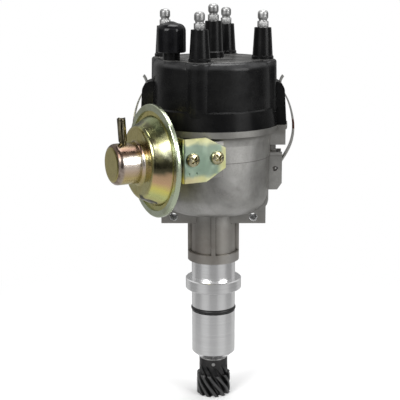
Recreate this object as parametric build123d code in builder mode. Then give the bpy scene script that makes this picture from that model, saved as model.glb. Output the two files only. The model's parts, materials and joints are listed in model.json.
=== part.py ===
"""Ignition distributor for a four-cylinder engine.

Millimetres. Z is the shaft axis, up towards the cap. X runs along the base ears and
through both spring clips. The origin is on the shaft axis at the underside of the
collar, where the distributor seats in the engine. Angles are in degrees from +X.
"""
from build123d import *

import os
from math import cos, degrees, radians, sin, tan

# Fits
RUNNING = 0.04          # radial clearance of a turning or sliding fit
SEATED = 0.15           # radial clearance of a locating fit
FREE = 0.4              # air between bodies that pass each other
EDGE = 0.5              # broken edge of a turned face

# Shank, turned on the lower end of the casting
SHANK_R = 13.5
SHANK_L = 45.3
NOSE_R = 9.15           # flat lower end
NOSE_H = 3.9            # height of the lead-in cone
COLLAR_R = 17.3
COLLAR_H = 6.9

# O-ring
RING_SECTION_R = 1.3
RING_SINK = 0.76        # how far the section's centre lies under the shank's surface
RING_Z = -13.05
RING_GROOVE_H = 3.1

# Shaft and its two bushes
SHAFT_R = 6.0
BUSH_WALL = 1.5
BUSH_L = 20.0
BUSH_INSET = 0.4
BORE_RELIEF = 0.9       # radial, between the bushes
THRUST_T = 0.7
THRUST_R = 8.6
END_PLAY = 0.05

# Drive gear, left hand
TEETH = 12
MODULE = 1.27           # normal
HELIX = 35.0            # at the pitch circle
PRESSURE = 20.0         # normal
TEETH_L = 13.8
CUTTER_OVER = 1.0        # of the cutter past the tips of the teeth
GEAR_L = 24.3           # with the hub
HUB_R = 8.95
GEAR_SEAT_R = 5.0
GEAR_TURN = -1.5        # of the first tooth gap at the lower face
RUNOUT_L = 8.0          # how far the tooth gaps run up into the hub
RUNOUT_STEPS = 3
GEAR_PIN_R = 1.1
GEAR_PIN_DROP = 2.8     # below the top of the hub
TIP_CHAMFER = 0.5

# Neck between the collar and the bowl
NECK_START = 18.8
NECK_R = 15.9
NECK_CORE_R = 13.8
NECK_RING_H = 5.5
NECK_RIB_W = 2.6

# Base ears under the bowl
EAR_INSET = 2.0          # from the bowl's radius
EAR_Y = 9.0
EAR_DROP = 7.2           # underside, below the bowl
EAR_H = 10.7            # up to where the ears widen to the bowl
EAR_FLARE_H = 3.0
EAR_HOLE_INSET = 7.5     # from the end of the ear
EAR_HOLE_UP = 3.9       # from the underside
EAR_HOLE_R = 2.5        # tapping size of M6

# Bowl
BOWL_BOTTOM = 50.5
BOWL_BASE_T = 4.5
BOWL_DRAFT = 0.8
BOWL_CORNER = 12.0
BOWL_TOP_R = 34.6
STEP_H = 34.3           # from the bottom to the joint line of the casting
STEP = 0.25
WALL = 3.0
BOWL_H = 53.7
RIM_FLARE = 4.8          # rim's reach beyond the bowl
RIM_H = 3.7
RIM_FLARE_H = 6.0       # height of the curve under the rim
REGISTER_WALL = 3.4      # of the rim, round the recess that centres the cap
REGISTER_H = 2.0

# Cap
CAP_H = 39.0
SKIRT_LIP = 0.2          # reach of the cap's edge beyond the rim
SKIRT_DRAFT = 1.5
SKIRT_H = 10.3
SHOULDER_H = 0.8
SHOULDER_W = 1.1
BODY_DRAFT = 0.8
CAP_ROUND = 5.0
CAP_WALL = 3.2
CAP_TOP_T = 3.4
CAP_INNER_ROUND = 3.0
CYLINDERS = 4
ELECTRODE_GAP = 0.3      # from the cap's wall
TOWER_TURN = -15.13     # first tower
COLUMN_R = 8.3
COLUMN_FOOT_R = 8.9
COLUMN_UP = 7.3          # foot of the columns, above the rim
COLUMN_ROUND = 1.6
TOWER_BASE_R = 6.5
TOWER_BASE_H = 2.2
TOWER_LIP = 0.6
TOWER_R = 6.0
TOWER_TIP_R = 5.0
TOWER_H = 18.4
CENTRE_BASE_R = 6.4
CENTRE_BASE_H = 4.1
CENTRE_R = 5.7
CENTRE_H = 21.7
BOSS_WALL = 3.0         # round each insert, inside the cap
BOSS_L = 18.0
CENTRE_BOSS_L = 12.5
LUG_Y = 8.0
GROOVE_GAP = 0.65        # from the groove's floor to the clip
LUG_DRAFT = 1.2
LUG_SHOULDER_H = 19.6
LUG_ROUND = 6.1
GROOVE_DEPTH = 3.4
GROOVE_H = 12.3         # from the foot of the lug to the mouth of the groove
GROOVE_RAMP = 5.5
VENT_TURN = -144.2
VENT_R = 8.5
VENT_RISE = 4.7         # from the top of the cap to the rim of the vent hood
VENT_H = 17.8
VENT_SHOULDER = 4.2
VENT_CROWN = 1.3
STUB_R = 5.0
STUB_H = 9.8
VENT_BORE_R = 1.5
VENT_ROOM_R = 6.3
VENT_ROOM_H = 5.0

# Terminals, brush
STUD_H = 10.0
STUD_R = 3.1             # head
STUD_HEAD_H = 4.4        # from the widest part down to the crown's top
STUD_CROWN = 1.9         # roundness of the crown
STUD_NECK_R = 2.4
STUD_NECK_H = 0.5
STUD_BASE_R = 3.3
STUD_BASE_H = 3.3
STUD_FOOT_R = 2.8
INSERT_R = 2.6
INSERT_PROUD = 5.2      # below the boss
BRUSH_R = 2.4
BRUSH_L = 8.0
BRUSH_TIP = 0.6
BRUSH_SPRING_L = 6.5
BRUSH_WIRE_R = 0.25
BRUSH_TURNS = 5

# Spring clips and the bosses that carry them
CLIP_PIN_OUT = 2.8       # beyond the bowl
CLIP_PIN_DROP = 27.2     # below the rim
CLIP_PIN_R = 1.4
CLIP_PIN_INSET = 0.5
CLIP_T = 0.9
CLIP_W = 8.0
CLIP_EYE_R = 2.5
CLIP_WAIST = 2.9
CLIP_LINE = (            # centre line of the strip, from the pin: eye, belly, waist, tip
    (1.9, 1.0),
    (6.0, 7.3),
    (9.3, 14.0),
    (11.0, 25.5),
    (9.6, 34.4),
    (6.0, 43.7),
    (CLIP_WAIST, 49.6),
    (4.5, 55.6),
)
CLEVIS_OUT = 4.1         # from the pin
CLEVIS_Y = 7.2
CLEVIS_DOWN = 13.0      # from the pin
CLEVIS_UP = 9.9
CLEVIS_FLOOR = 9.0
CLEVIS_CORNER_X = 2.8
CLEVIS_CORNER_Z = 4.0
REST_H = 12.1
WEB_OUT = 0.5            # from the pin
WEB_Y = 2.5

# Vacuum unit: the axis is level and points forwards and to the left
CAN_TURN = 28.35        # from -X towards -Y
CAN_INSET = 14.0         # of its axis from the pad's face
CAN_DROP = 15.95         # of its axis below the rim
CAN_GAP = 3.8            # flat back of the rear shell, beyond the bowl's radius
CAN_BACK_R = 14.0
CAN_SKIN = 1.0
CAN_NECK_R = 6.0
CAN_DEPTH = 12.65       # from the back of the rear shell to the front of the rim
CAN_RIM_R = 32.6
CRIMP = 0.85            # wall of the rolled edge
CRIMP_L = 3.0
CRIMP_LAP = 2.2
DIAPHRAGM_T = 0.6
REAR_FLANGE_T = 0.8
RECESS_R = 28.8
RECESS = 0.9
CONE_R = 26.1           # foot of the front shell's cone
SHOULDER_R = 21.5
SHOULDER_ROUND = 2.6
SHOULDER_S = 7.1        # from the front of the rim
FACE_S = 9.25
CAN_FILLET = 1.9        # at the foot of the nose
CAN_NOSE_R = 11.75
CAN_NOSE_S = 25.15
CAN_NOSE_ROUND = 3.2
PISTON_R = 17.0
PISTON_LIP = 1.0         # of the diaphragm's web past the pistons
PISTON_T = 0.8
PISTON_BACK = 6.8       # rear piston plate, from the back of the rear shell
RIVET_R = 1.5
RIVET_HEAD_R = 2.6
NIPPLE_R = 2.4
NIPPLE_SPIGOT_R = 2.0    # where the tube goes through the shell
NIPPLE_SPIGOT_H = 1.0
NIPPLE_BORE_R = 1.4
NIPPLE_BACK = 7.5       # from the front of the nose
NIPPLE_H = 14.5
NIPPLE_LEAN = 3.4
VAC_WIRE_R = 0.6
VAC_COIL_R = 8.6
VAC_TURNS = 5

# Pad and sheet bracket that hold the vacuum unit
PAD_DEPTH = 0.1          # of the pad's face inside the bowl's radius
PAD_INNER = 10.0
PAD_L = 26.4             # pad, plate, screws and dimples run back from the can
PAD_H = 21.0
PAD_GAP = 0.2           # to the leg of the bracket
PLATE_T = 1.2
PLATE_BELOW = 12.0      # from the axis of the vacuum unit
PLATE_ABOVE = 13.5
PLATE_L = 27.25
PLATE_NOSE_BELOW = 4.9
PLATE_NOSE_ABOVE = 6.8
PLATE_CORNER_L = 14.7
PLATE_BEND_R = 1.4
LEG_R = 9.5
LEG_REACH = 4.5
SCREW_BACK = (21.4, 5.8)
SCREW_UP = 1.5
SCREW_R = 2.0
SCREW_L = 7.0
SCREW_HEAD_R = 4.0
SCREW_HEAD_H = 2.6
CROSS_W = 1.0
CROSS_L = 4.6
CROSS_DEPTH = 1.3
DIMPLE_BACK = (8.2, 3.4)
DIMPLE_DOWN = 6.6
DIMPLE_R = 0.7
DIMPLE_DEPTH = 0.5
WINDOW_W = 6.4
WINDOW_H = 4.4

# Link rod
ROD_W = 4.0
ROD_T = 1.5
ROD_EYE_R = 3.4
ROD_PIN_R = 1.5
ROD_PLAY = 0.1
ROD_CLIP_R = 2.9
ROD_CLIP_T = 0.6
PLATE_SWING = 10.0      # vacuum advance

# Fixed plate and pickup plate
FIXED_PLATE_T = 2.0
FIXED_PLATE_GAP = 1.0    # to the bowl's wall
FIXED_DROP = 6.25       # from the rod's centre down to the underside
HUB_BORE_R = 11.0
COLLAR_WALL = 2.0
COLLAR_L = 5.6
THRUST_STEP_R = 15.0
THRUST_STEP_H = 0.3
HOLDER_W = 1.6
HOLDER_T = 0.7
LUG_INSET = 3.6          # from the bowl's wall
LUG_R = 4.4
LUG_H = 8.0
LUG_TURNS = (30.0, 150.0, 285.0)
SMALL_SCREW_R = 1.5
SMALL_HEAD_R = 2.7
SMALL_HEAD_H = 1.8
SMALL_SCREW_L = 6.0
PICKUP_PLATE_T = 2.0
PICKUP_PLATE_GAP = 5.0   # to the bowl's wall
PICKUP_TURN = 75.0
IRON_T = 1.6
IRON_W = 14.0
IRON_FOOT = 6.0
IRON_SCREW_Y = 4.2
POLE_W = 4.0
POLE_GAP = 0.45
COIL_R = 4.8
COIL_L = 6.5
COIL_FLANGE_T = 1.0

# Reluctor, sleeve and rotor
SPINDLE_R = 4.0
SLEEVE_R = 6.5
SLEEVE_DROP = 26.2       # its top, below the ceiling of the cap
CUP_R = 5.0
CUP_DEPTH = 7.5
CUP_SCREW_R = 1.6
CUP_SCREW_L = 8.0
CUP_HEAD_R = 3.2
CUP_HEAD_H = 2.2
CUP_WASHER_T = 0.8
KEY_FLAT = 5.6          # flat on the sleeve that turns the rotor arm
KEY_L = 6.0
RELUCTOR_UP = 2.6       # above the pickup plate's collar
RELUCTOR_H = 6.5
RELUCTOR_HUB_R = 9.0
RELUCTOR_TIP_R = 13.6
RELUCTOR_TIP_W = 3.4
ROTOR_HUB_R = 10.2
ROTOR_HUB_L = 12.4
ROTOR_LAP = 9.0         # length of the sleeve inside the hub
ROTOR_DECK_T = 3.0
ROTOR_ARM_W = 12.0
ROTOR_ARM_R = 22.0
ROTOR_TAIL_R = 13.0
ROTOR_TURN = 74.87
BLADE_T = 1.2
BLADE_W = 6.0
BUTTON_R = 4.4
SPARK_GAP = 0.8

# Centrifugal advance
ADVANCE = 12.0
GOV_PLATE_UP = 3.4      # above the bowl's floor
GOV_PLATE_T = 2.4
GOV_PLATE_GAP = 7.6      # to the bowl's wall
GOV_PLATE_W = 34.0
GOV_SEAT_R = 5.0
POST_R = 2.0
POST_INSET = 6.5         # from the outside of the weights
WEIGHT_T = 4.0
WEIGHT_INSET = 0.5       # from the plate's end
WEIGHT_IN_R = 11.0
WEIGHT_START = -20.0
WEIGHT_END = 115.0
WEIGHT_EYE_R = 4.4
DRIVE_PIN_R = 1.5
DRIVE_PITCH_R = 8.9      # of the yoke's slots
DRIVE_BOSS_R = 2.9
SLOT_PLAY = 0.12
YOKE_T = 2.0
YOKE_HUB_R = 9.0
YOKE_W = 7.0
YOKE_GAP = 2.0           # from the yoke's ends to the weights' posts
TAB_TURN = 84.0
TAB_R = 11.4
TAB_W = 4.6
TAB_PIN_R = 1.0
SPRING_UP = 2.8         # above the yoke
GOV_WIRE_R = 0.35
GOV_COIL_R = 1.6
GOV_TURNS = 6
GOV_COIL_L = 8.0

# Derived radii and levels
SHANK_BOTTOM = -SHANK_L
RING_R = SHANK_R - RING_SINK
BUSH_R = SHAFT_R + BUSH_WALL
THRUST_TOP = SHANK_BOTTOM - END_PLAY
GEAR_TOP = THRUST_TOP - THRUST_T
GEAR_BOTTOM = GEAR_TOP - GEAR_L
GEAR_PIN_Z = GEAR_TOP - GEAR_PIN_DROP
PITCH_R = TEETH * MODULE / cos(radians(HELIX)) / 2
TIP_R = PITCH_R + MODULE
ROOT_R = PITCH_R - 1.25 * MODULE
TWIST = -degrees(tan(radians(HELIX)) / PITCH_R)
FLANK = tan(radians(PRESSURE)) / cos(radians(HELIX))
BOWL_FLOOR = BOWL_BOTTOM + BOWL_BASE_T
STEP_Z = BOWL_BOTTOM + STEP_H
BOWL_R = BOWL_TOP_R - BOWL_DRAFT
INNER_R = BOWL_TOP_R - WALL
RIM_R = BOWL_TOP_R + RIM_FLARE
REGISTER_R = RIM_R - REGISTER_WALL
EAR_X = BOWL_R - EAR_INSET
EAR_BOTTOM = BOWL_BOTTOM - EAR_DROP
EAR_HOLE_X = EAR_X - EAR_HOLE_INSET
RIM_TOP = BOWL_BOTTOM + BOWL_H
CAP_TOP = RIM_TOP + CAP_H
SKIRT_TOP = RIM_TOP + SKIRT_H
SKIRT_R = RIM_R + SKIRT_LIP
SKIRT_TOP_R = SKIRT_R - SKIRT_DRAFT
BODY_R = SKIRT_TOP_R - SHOULDER_W
BODY_TOP_R = BODY_R - BODY_DRAFT
CAP_INNER_R = BODY_TOP_R - CAP_WALL
TOWER_PITCH_R = CAP_INNER_R - INSERT_R - ELECTRODE_GAP
COLUMN_FOOT = RIM_TOP + COLUMN_UP
CEILING = CAP_TOP - CAP_TOP_T
TOWER_TOP = CAP_TOP + TOWER_H
CENTRE_TOP = CAP_TOP + CENTRE_H
BOSS_R = INSERT_R + BOSS_WALL
BOSS_BOTTOM = CEILING - BOSS_L
INSERT_BOTTOM = BOSS_BOTTOM - INSERT_PROUD
CENTRE_BOSS_BOTTOM = CEILING - CENTRE_BOSS_L
STUB_TOP = CAP_TOP + STUB_H
CLIP_PIN_X = BOWL_TOP_R + CLIP_PIN_OUT
CLIP_PIN_Z = RIM_TOP - CLIP_PIN_DROP
CLEVIS_X = CLIP_PIN_X + CLEVIS_OUT
WEB_X = CLIP_PIN_X + WEB_OUT
GROOVE_X = CLIP_PIN_X + CLIP_WAIST - CLIP_T / 2 - GROOVE_GAP
LUG_X = GROOVE_X + GROOVE_DEPTH
LUG_FOOT_X = LUG_X + LUG_DRAFT
REST_X = LUG_FOOT_X - FREE
CLEVIS_BACK = CLIP_PIN_X - CLIP_EYE_R - FREE
SLOT_Y = CLIP_W / 2 + FREE
LUG_TOP = RIM_TOP + LUG_SHOULDER_H + LUG_ROUND
CAN_Z = RIM_TOP - CAN_DROP
CAN_BACK = BOWL_TOP_R + CAN_GAP
CAN_RIM_FRONT = CAN_BACK + CAN_DEPTH
PAD_FACE = BOWL_TOP_R - PAD_DEPTH
PAD_START = CAN_BACK - PAD_L
CAN_OFFSET = PAD_FACE - CAN_INSET
CLAMP_INSET = 3 * CAN_SKIN
SPIGOT_INTO = 1.5 * CAN_SKIN
SCREW_S = [CAN_BACK - back for back in SCREW_BACK]
DIMPLE_S = [CAN_BACK - back for back in DIMPLE_BACK]
FIXED_PLATE_R = INNER_R - FIXED_PLATE_GAP
LUG_PITCH_R = INNER_R - LUG_INSET
PICKUP_PLATE_R = INNER_R - PICKUP_PLATE_GAP
FIXED_PLATE_Z = CAN_Z - FIXED_DROP
FIXED_PLATE_TOP = FIXED_PLATE_Z + FIXED_PLATE_T
HUB_COLLAR_R = HUB_BORE_R + COLLAR_WALL
PICKUP_PLATE_Z = FIXED_PLATE_TOP + THRUST_STEP_H + END_PLAY
PICKUP_PLATE_TOP = PICKUP_PLATE_Z + PICKUP_PLATE_T
GOV_PLATE_R = INNER_R - GOV_PLATE_GAP
WEIGHT_OUT_R = GOV_PLATE_R - WEIGHT_INSET
POST_PITCH_R = WEIGHT_OUT_R - POST_INSET
DRIVE_PIN_ARM = POST_PITCH_R - DRIVE_PITCH_R
YOKE_R = POST_PITCH_R - POST_R - YOKE_GAP
GOV_PLATE_Z = BOWL_FLOOR + GOV_PLATE_UP
GOV_PLATE_TOP = GOV_PLATE_Z + GOV_PLATE_T
WEIGHT_Z = GOV_PLATE_TOP + FREE
WEIGHT_TOP = WEIGHT_Z + WEIGHT_T
YOKE_Z = WEIGHT_TOP + FREE
YOKE_TOP = YOKE_Z + YOKE_T
SLEEVE_TOP = CEILING - SLEEVE_DROP
SLEEVE_L = SLEEVE_TOP - YOKE_Z
LEDGE_Z = SLEEVE_TOP - CUP_DEPTH
SPINDLE_TOP = LEDGE_Z + END_PLAY
RELUCTOR_Z = FIXED_PLATE_TOP + COLLAR_L + RELUCTOR_UP
ROTOR_BOTTOM = SLEEVE_TOP - ROTOR_LAP
DECK_Z = ROTOR_BOTTOM + ROTOR_HUB_L
DECK_TOP = DECK_Z + ROTOR_DECK_T
BLADE_TOP = DECK_TOP + BLADE_T
BLADE_TIP_R = TOWER_PITCH_R - INSERT_R - SPARK_GAP
BRUSH_TOP = BLADE_TOP + BRUSH_L
CENTRE_INSERT_BOTTOM = BRUSH_TOP + BRUSH_SPRING_L

# Derived directions and planes
CAN_DIR = Vector(-cos(radians(CAN_TURN)), -sin(radians(CAN_TURN)), 0)
CAN_SIDE = Vector(sin(radians(CAN_TURN)), -cos(radians(CAN_TURN)), 0)
CAN_FOOT = CAN_SIDE * CAN_OFFSET + Vector(0, 0, CAN_Z)
CAN_AXIS = Axis(CAN_FOOT, CAN_DIR)
CAN_HALF = Plane(CAN_FOOT, x_dir=CAN_SIDE, z_dir=(0, 0, -1))
CAN_CROSS = Plane(CAN_FOOT, x_dir=CAN_SIDE, z_dir=CAN_DIR)
PAD_PLANE = Plane(CAN_SIDE * PAD_FACE, x_dir=-CAN_DIR, z_dir=CAN_SIDE)
PAD_END = CAN_BACK - PLATE_T - PAD_GAP
CLAMP_S = CAN_RIM_FRONT - CAN_SKIN
SCREW_Z = CAN_Z + SCREW_UP
PISTON_S = CAN_BACK + PISTON_BACK
PISTON_FRONT_S = PISTON_S + 2 * PISTON_T + DIAPHRAGM_T
NOSE_END = CAN_RIM_FRONT + CAN_NOSE_S
NIPPLE_DIR = Vector(0, 0, 1) * cos(radians(NIPPLE_LEAN)) + CAN_DIR * sin(radians(NIPPLE_LEAN))
NIPPLE_FOOT = CAN_FOOT + CAN_DIR * (NOSE_END - NIPPLE_BACK) + Vector(0, 0, CAN_NOSE_R)
NIPPLE_PLANE = Plane(NIPPLE_FOOT, x_dir=CAN_SIDE, z_dir=NIPPLE_DIR)
ROD_REST = -CAN_OFFSET * tan(radians(PLATE_SWING / 2))
ROD_PIN = CAN_SIDE * CAN_OFFSET + CAN_DIR * ROD_REST
DRIVE_RATIO = DRIVE_PITCH_R / DRIVE_PIN_ARM
WEIGHT_LEAN = ADVANCE / 2 * DRIVE_RATIO


def polar(radius, turn, z=0.0):
    """A point at a radius and a turn from +X."""
    return Vector(radius * cos(radians(turn)), radius * sin(radians(turn)), z)


def spring_path(start, end, radius, turns):
    """A helix whose centre line runs from start to end."""
    run = end - start
    plane = Plane(start, z_dir=run.normalized())
    helix = Helix(pitch=run.length / turns, height=run.length, radius=radius, mode=Mode.PRIVATE)
    return plane.from_local_coords(helix)


os.makedirs("parts", exist_ok=True)

# Base ears, flaring up to the bowl
with BuildPart() as ears:
    with BuildSketch(Plane.XZ):
        with BuildLine():
            Polyline(
                (0, EAR_BOTTOM),
                (EAR_X, EAR_BOTTOM),
                (EAR_X, EAR_BOTTOM + EAR_H),
                (BOWL_R, EAR_BOTTOM + EAR_H + EAR_FLARE_H),
                (BOWL_R, BOWL_BOTTOM + BOWL_CORNER),
                (0, BOWL_BOTTOM + BOWL_CORNER),
                close=True,
            )
        make_face()
        mirror(about=Plane.YZ)
    extrude(amount=EAR_Y, both=True)
    with BuildSketch(Plane.XY.offset(EAR_BOTTOM)):
        Circle(BOWL_R)
    extrude(amount=BOWL_CORNER + BOWL_BOTTOM - EAR_BOTTOM, mode=Mode.INTERSECT)

# Bosses for one spring clip: a clevis for the pin, a web, and a rest under the cap's lug
with BuildPart() as clip_bosses:
    with BuildSketch(Plane.XZ):
        with BuildLine():
            Polyline(
                (INNER_R, CLIP_PIN_Z - CLEVIS_DOWN),
                (CLEVIS_X - CLEVIS_CORNER_X, CLIP_PIN_Z - CLEVIS_DOWN),
                (CLEVIS_X, CLIP_PIN_Z - CLEVIS_DOWN + CLEVIS_CORNER_Z),
                (CLEVIS_X, CLIP_PIN_Z + CLEVIS_UP),
                (INNER_R, CLIP_PIN_Z + CLEVIS_UP),
                close=True,
            )
        make_face()
    extrude(amount=CLEVIS_Y, both=True)
    with BuildSketch(Plane.XZ):
        with BuildLine():
            Polyline(
                (INNER_R, RIM_TOP - EDGE - REST_H),
                (REST_X, RIM_TOP - EDGE - REST_H),
                (REST_X, RIM_TOP - EDGE),
                (INNER_R, RIM_TOP - EDGE),
                close=True,
            )
        make_face()
    extrude(amount=CLEVIS_Y, both=True)
    with BuildSketch(Plane.XZ):
        with BuildLine():
            Polyline(
                (INNER_R, CLIP_PIN_Z),
                (WEB_X, CLIP_PIN_Z),
                (WEB_X, RIM_TOP - REST_H),
                (INNER_R, RIM_TOP - REST_H),
                close=True,
            )
        make_face()
    extrude(amount=WEB_Y, both=True)
    with BuildSketch(Plane.XZ):
        with BuildLine():
            Polyline(
                (CLEVIS_BACK, CLIP_PIN_Z - CLEVIS_FLOOR),
                (CLEVIS_X + FREE, CLIP_PIN_Z - CLEVIS_FLOOR),
                (CLEVIS_X + FREE, CLIP_PIN_Z + CLEVIS_UP + FREE),
                (WEB_X, CLIP_PIN_Z + CLEVIS_UP + FREE),
                (WEB_X, CLIP_PIN_Z + CLEVIS_UP / 2),
                (CLEVIS_BACK, CLIP_PIN_Z + CLEVIS_UP / 2),
                close=True,
            )
        make_face()
    extrude(amount=SLOT_Y, both=True, mode=Mode.SUBTRACT)
    with BuildSketch(Plane.XZ):
        with Locations((CLIP_PIN_X, CLIP_PIN_Z)):
            Circle(CLIP_PIN_R)
    extrude(amount=CLEVIS_Y, both=True, mode=Mode.SUBTRACT)

with BuildPart() as housing:
    with BuildSketch(Plane.XZ):
        with BuildLine():
            Polyline(
                (0, BOWL_BOTTOM),
                (0, SHANK_BOTTOM),
                (NOSE_R, SHANK_BOTTOM),
                (SHANK_R, SHANK_BOTTOM + NOSE_H),
                (SHANK_R, 0),
                (COLLAR_R - EDGE, 0),
                (COLLAR_R, EDGE),
                (COLLAR_R, COLLAR_H - EDGE),
                (COLLAR_R - EDGE, COLLAR_H),
                (SHANK_R, COLLAR_H),
                (SHANK_R, NECK_START),
                (NECK_R, NECK_START),
                (NECK_R, NECK_START + NECK_RING_H),
                (NECK_CORE_R, NECK_START + NECK_RING_H),
                (NECK_CORE_R, BOWL_BOTTOM),
                (BOWL_R - BOWL_CORNER, BOWL_BOTTOM),
            )
            TangentArc(
                (BOWL_R - BOWL_CORNER, BOWL_BOTTOM),
                (BOWL_R, BOWL_BOTTOM + BOWL_CORNER),
                tangent=(1, 0),
            )
            Polyline(
                (BOWL_R, BOWL_BOTTOM + BOWL_CORNER),
                (BOWL_TOP_R - STEP, STEP_Z),
                (BOWL_TOP_R, STEP_Z),
                (BOWL_TOP_R, RIM_TOP - RIM_H - RIM_FLARE_H),
            )
            TangentArc(
                (BOWL_TOP_R, RIM_TOP - RIM_H - RIM_FLARE_H),
                (RIM_R, RIM_TOP - RIM_H),
                tangent=(0, 1),
            )
            Polyline(
                (RIM_R, RIM_TOP - RIM_H),
                (RIM_R, RIM_TOP),
                (0, RIM_TOP),
                (0, BOWL_BOTTOM),
            )
        make_face()
    revolve(axis=Axis.Z)
    with BuildSketch(Plane.XY.offset(NECK_START)):
        Rectangle(2 * NECK_R, NECK_RIB_W)
        Rectangle(NECK_RIB_W, 2 * NECK_R)
        Circle(NECK_R, mode=Mode.INTERSECT)
    extrude(amount=BOWL_FLOOR - NECK_START)
    add(ears.part)
    add(clip_bosses.part)
    add(clip_bosses.part.mirror(Plane.YZ))
    # pad for the vacuum unit's bracket
    with BuildSketch(CAN_CROSS.offset(PAD_START)):
        with Locations(((PAD_FACE + PAD_INNER) / 2 - CAN_OFFSET, 0)):
            Rectangle(PAD_FACE - PAD_INNER, PAD_H)
    extrude(amount=PAD_END - PAD_START)
    # inside of the bowl, with the recess for the cap
    with BuildSketch(Plane.XZ):
        with BuildLine():
            Line((0, RIM_TOP), (0, BOWL_FLOOR))
            Line((0, BOWL_FLOOR), (BOWL_R - BOWL_CORNER, BOWL_FLOOR))
            TangentArc(
                (BOWL_R - BOWL_CORNER, BOWL_FLOOR),
                (BOWL_R - WALL, BOWL_FLOOR + BOWL_CORNER - WALL),
                tangent=(1, 0),
            )
            Polyline(
                (BOWL_R - WALL, BOWL_FLOOR + BOWL_CORNER - WALL),
                (INNER_R, STEP_Z),
                (INNER_R, RIM_TOP - REGISTER_H),
                (REGISTER_R, RIM_TOP - REGISTER_H),
                (REGISTER_R, RIM_TOP),
                (0, RIM_TOP),
            )
        make_face()
    revolve(axis=Axis.Z, mode=Mode.SUBTRACT)
    # lugs that carry the fixed plate
    with BuildSketch(Plane.XY.offset(FIXED_PLATE_Z - LUG_H)):
        with Locations(*[polar(LUG_PITCH_R, turn) for turn in LUG_TURNS]):
            Circle(LUG_R)
    extrude(amount=LUG_H)
    with BuildSketch(Plane.XY.offset(FIXED_PLATE_Z)):
        with Locations(*[polar(LUG_PITCH_R, turn) for turn in LUG_TURNS]):
            Circle(SMALL_SCREW_R)
    extrude(amount=-SMALL_SCREW_L, mode=Mode.SUBTRACT)
    # window for the link rod
    with BuildSketch(CAN_CROSS.offset(PAD_START)):
        Rectangle(WINDOW_W, WINDOW_H)
    extrude(amount=PAD_END - PAD_START, mode=Mode.SUBTRACT)
    with BuildSketch(PAD_PLANE):
        with Locations(*[(-s, SCREW_Z) for s in SCREW_S]):
            Circle(SCREW_R)
    extrude(amount=-SCREW_L, mode=Mode.SUBTRACT)
    # threaded holes through the ears
    with BuildSketch(Plane.XZ):
        with Locations(*[(side * EAR_HOLE_X, EAR_BOTTOM + EAR_HOLE_UP) for side in (-1, 1)]):
            Circle(EAR_HOLE_R)
    extrude(amount=EAR_Y, both=True, mode=Mode.SUBTRACT)
    # bore with a seat for a bush at each end
    with BuildSketch(Plane.XY.offset(SHANK_BOTTOM)):
        Circle(SHAFT_R + BORE_RELIEF)
    extrude(amount=BOWL_FLOOR - SHANK_BOTTOM, mode=Mode.SUBTRACT)
    with BuildSketch(Plane.XY.offset(SHANK_BOTTOM)):
        Circle(BUSH_R)
    extrude(amount=BUSH_INSET + BUSH_L, mode=Mode.SUBTRACT)
    with BuildSketch(Plane.XY.offset(BOWL_FLOOR)):
        Circle(BUSH_R)
    extrude(amount=-BUSH_INSET - BUSH_L, mode=Mode.SUBTRACT)
    # groove for the O-ring
    with BuildSketch(Plane.XY.offset(RING_Z - RING_GROOVE_H / 2)):
        Circle(COLLAR_R)
        Circle(RING_R - RING_SECTION_R, mode=Mode.SUBTRACT)
    extrude(amount=RING_GROOVE_H, mode=Mode.SUBTRACT)
housing.part.label = "housing"
export_step(housing.part, "parts/housing.step")

with BuildPart() as o_ring:
    with BuildSketch(Plane.XZ):
        with Locations((RING_R, RING_Z)):
            Circle(RING_SECTION_R)
    revolve(axis=Axis.Z)
o_ring.part.label = "o_ring"
export_step(o_ring.part, "parts/o_ring.step")

bush_starts = {
    "bush_lower": SHANK_BOTTOM + BUSH_INSET,
    "bush_upper": BOWL_FLOOR - BUSH_INSET - BUSH_L,
}
for name, bottom in bush_starts.items():
    with BuildPart() as bush:
        with BuildSketch(Plane.XY.offset(bottom)):
            Circle(BUSH_R)
            Circle(SHAFT_R + RUNNING, mode=Mode.SUBTRACT)
        extrude(amount=BUSH_L)
    bush.part.label = name
    export_step(bush.part, f"parts/{name}.step")

# Shaft, gear and thrust washer
with BuildPart() as shaft:
    with BuildSketch(Plane.XZ):
        with BuildLine():
            Polyline(
                (0, GEAR_BOTTOM + EDGE),
                (GEAR_SEAT_R - EDGE, GEAR_BOTTOM + EDGE),
                (GEAR_SEAT_R, GEAR_BOTTOM + 2 * EDGE),
                (GEAR_SEAT_R, GEAR_TOP),
                (SHAFT_R, GEAR_TOP),
                (SHAFT_R, GOV_PLATE_Z),
                (GOV_SEAT_R, GOV_PLATE_Z),
                (GOV_SEAT_R, GOV_PLATE_TOP),
                (SPINDLE_R, GOV_PLATE_TOP),
                (SPINDLE_R, SPINDLE_TOP),
                (0, SPINDLE_TOP),
                close=True,
            )
        make_face()
    revolve(axis=Axis.Z)
    with BuildSketch(Plane.XY.offset(SPINDLE_TOP)):
        Circle(CUP_SCREW_R)
    extrude(amount=-CUP_SCREW_L, mode=Mode.SUBTRACT)
    with BuildSketch(Plane.XZ):
        with Locations((0, GEAR_PIN_Z)):
            Circle(GEAR_PIN_R)
    extrude(amount=HUB_R, both=True, mode=Mode.SUBTRACT)
shaft.part.label = "shaft"
export_step(shaft.part, "parts/shaft.step")

with BuildPart() as thrust_washer:
    with BuildSketch(Plane.XY.offset(GEAR_TOP)):
        Circle(THRUST_R)
        Circle(SHAFT_R, mode=Mode.SUBTRACT)
    extrude(amount=THRUST_T)
thrust_washer.part.label = "thrust_washer"
export_step(thrust_washer.part, "parts/thrust_washer.step")

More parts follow.
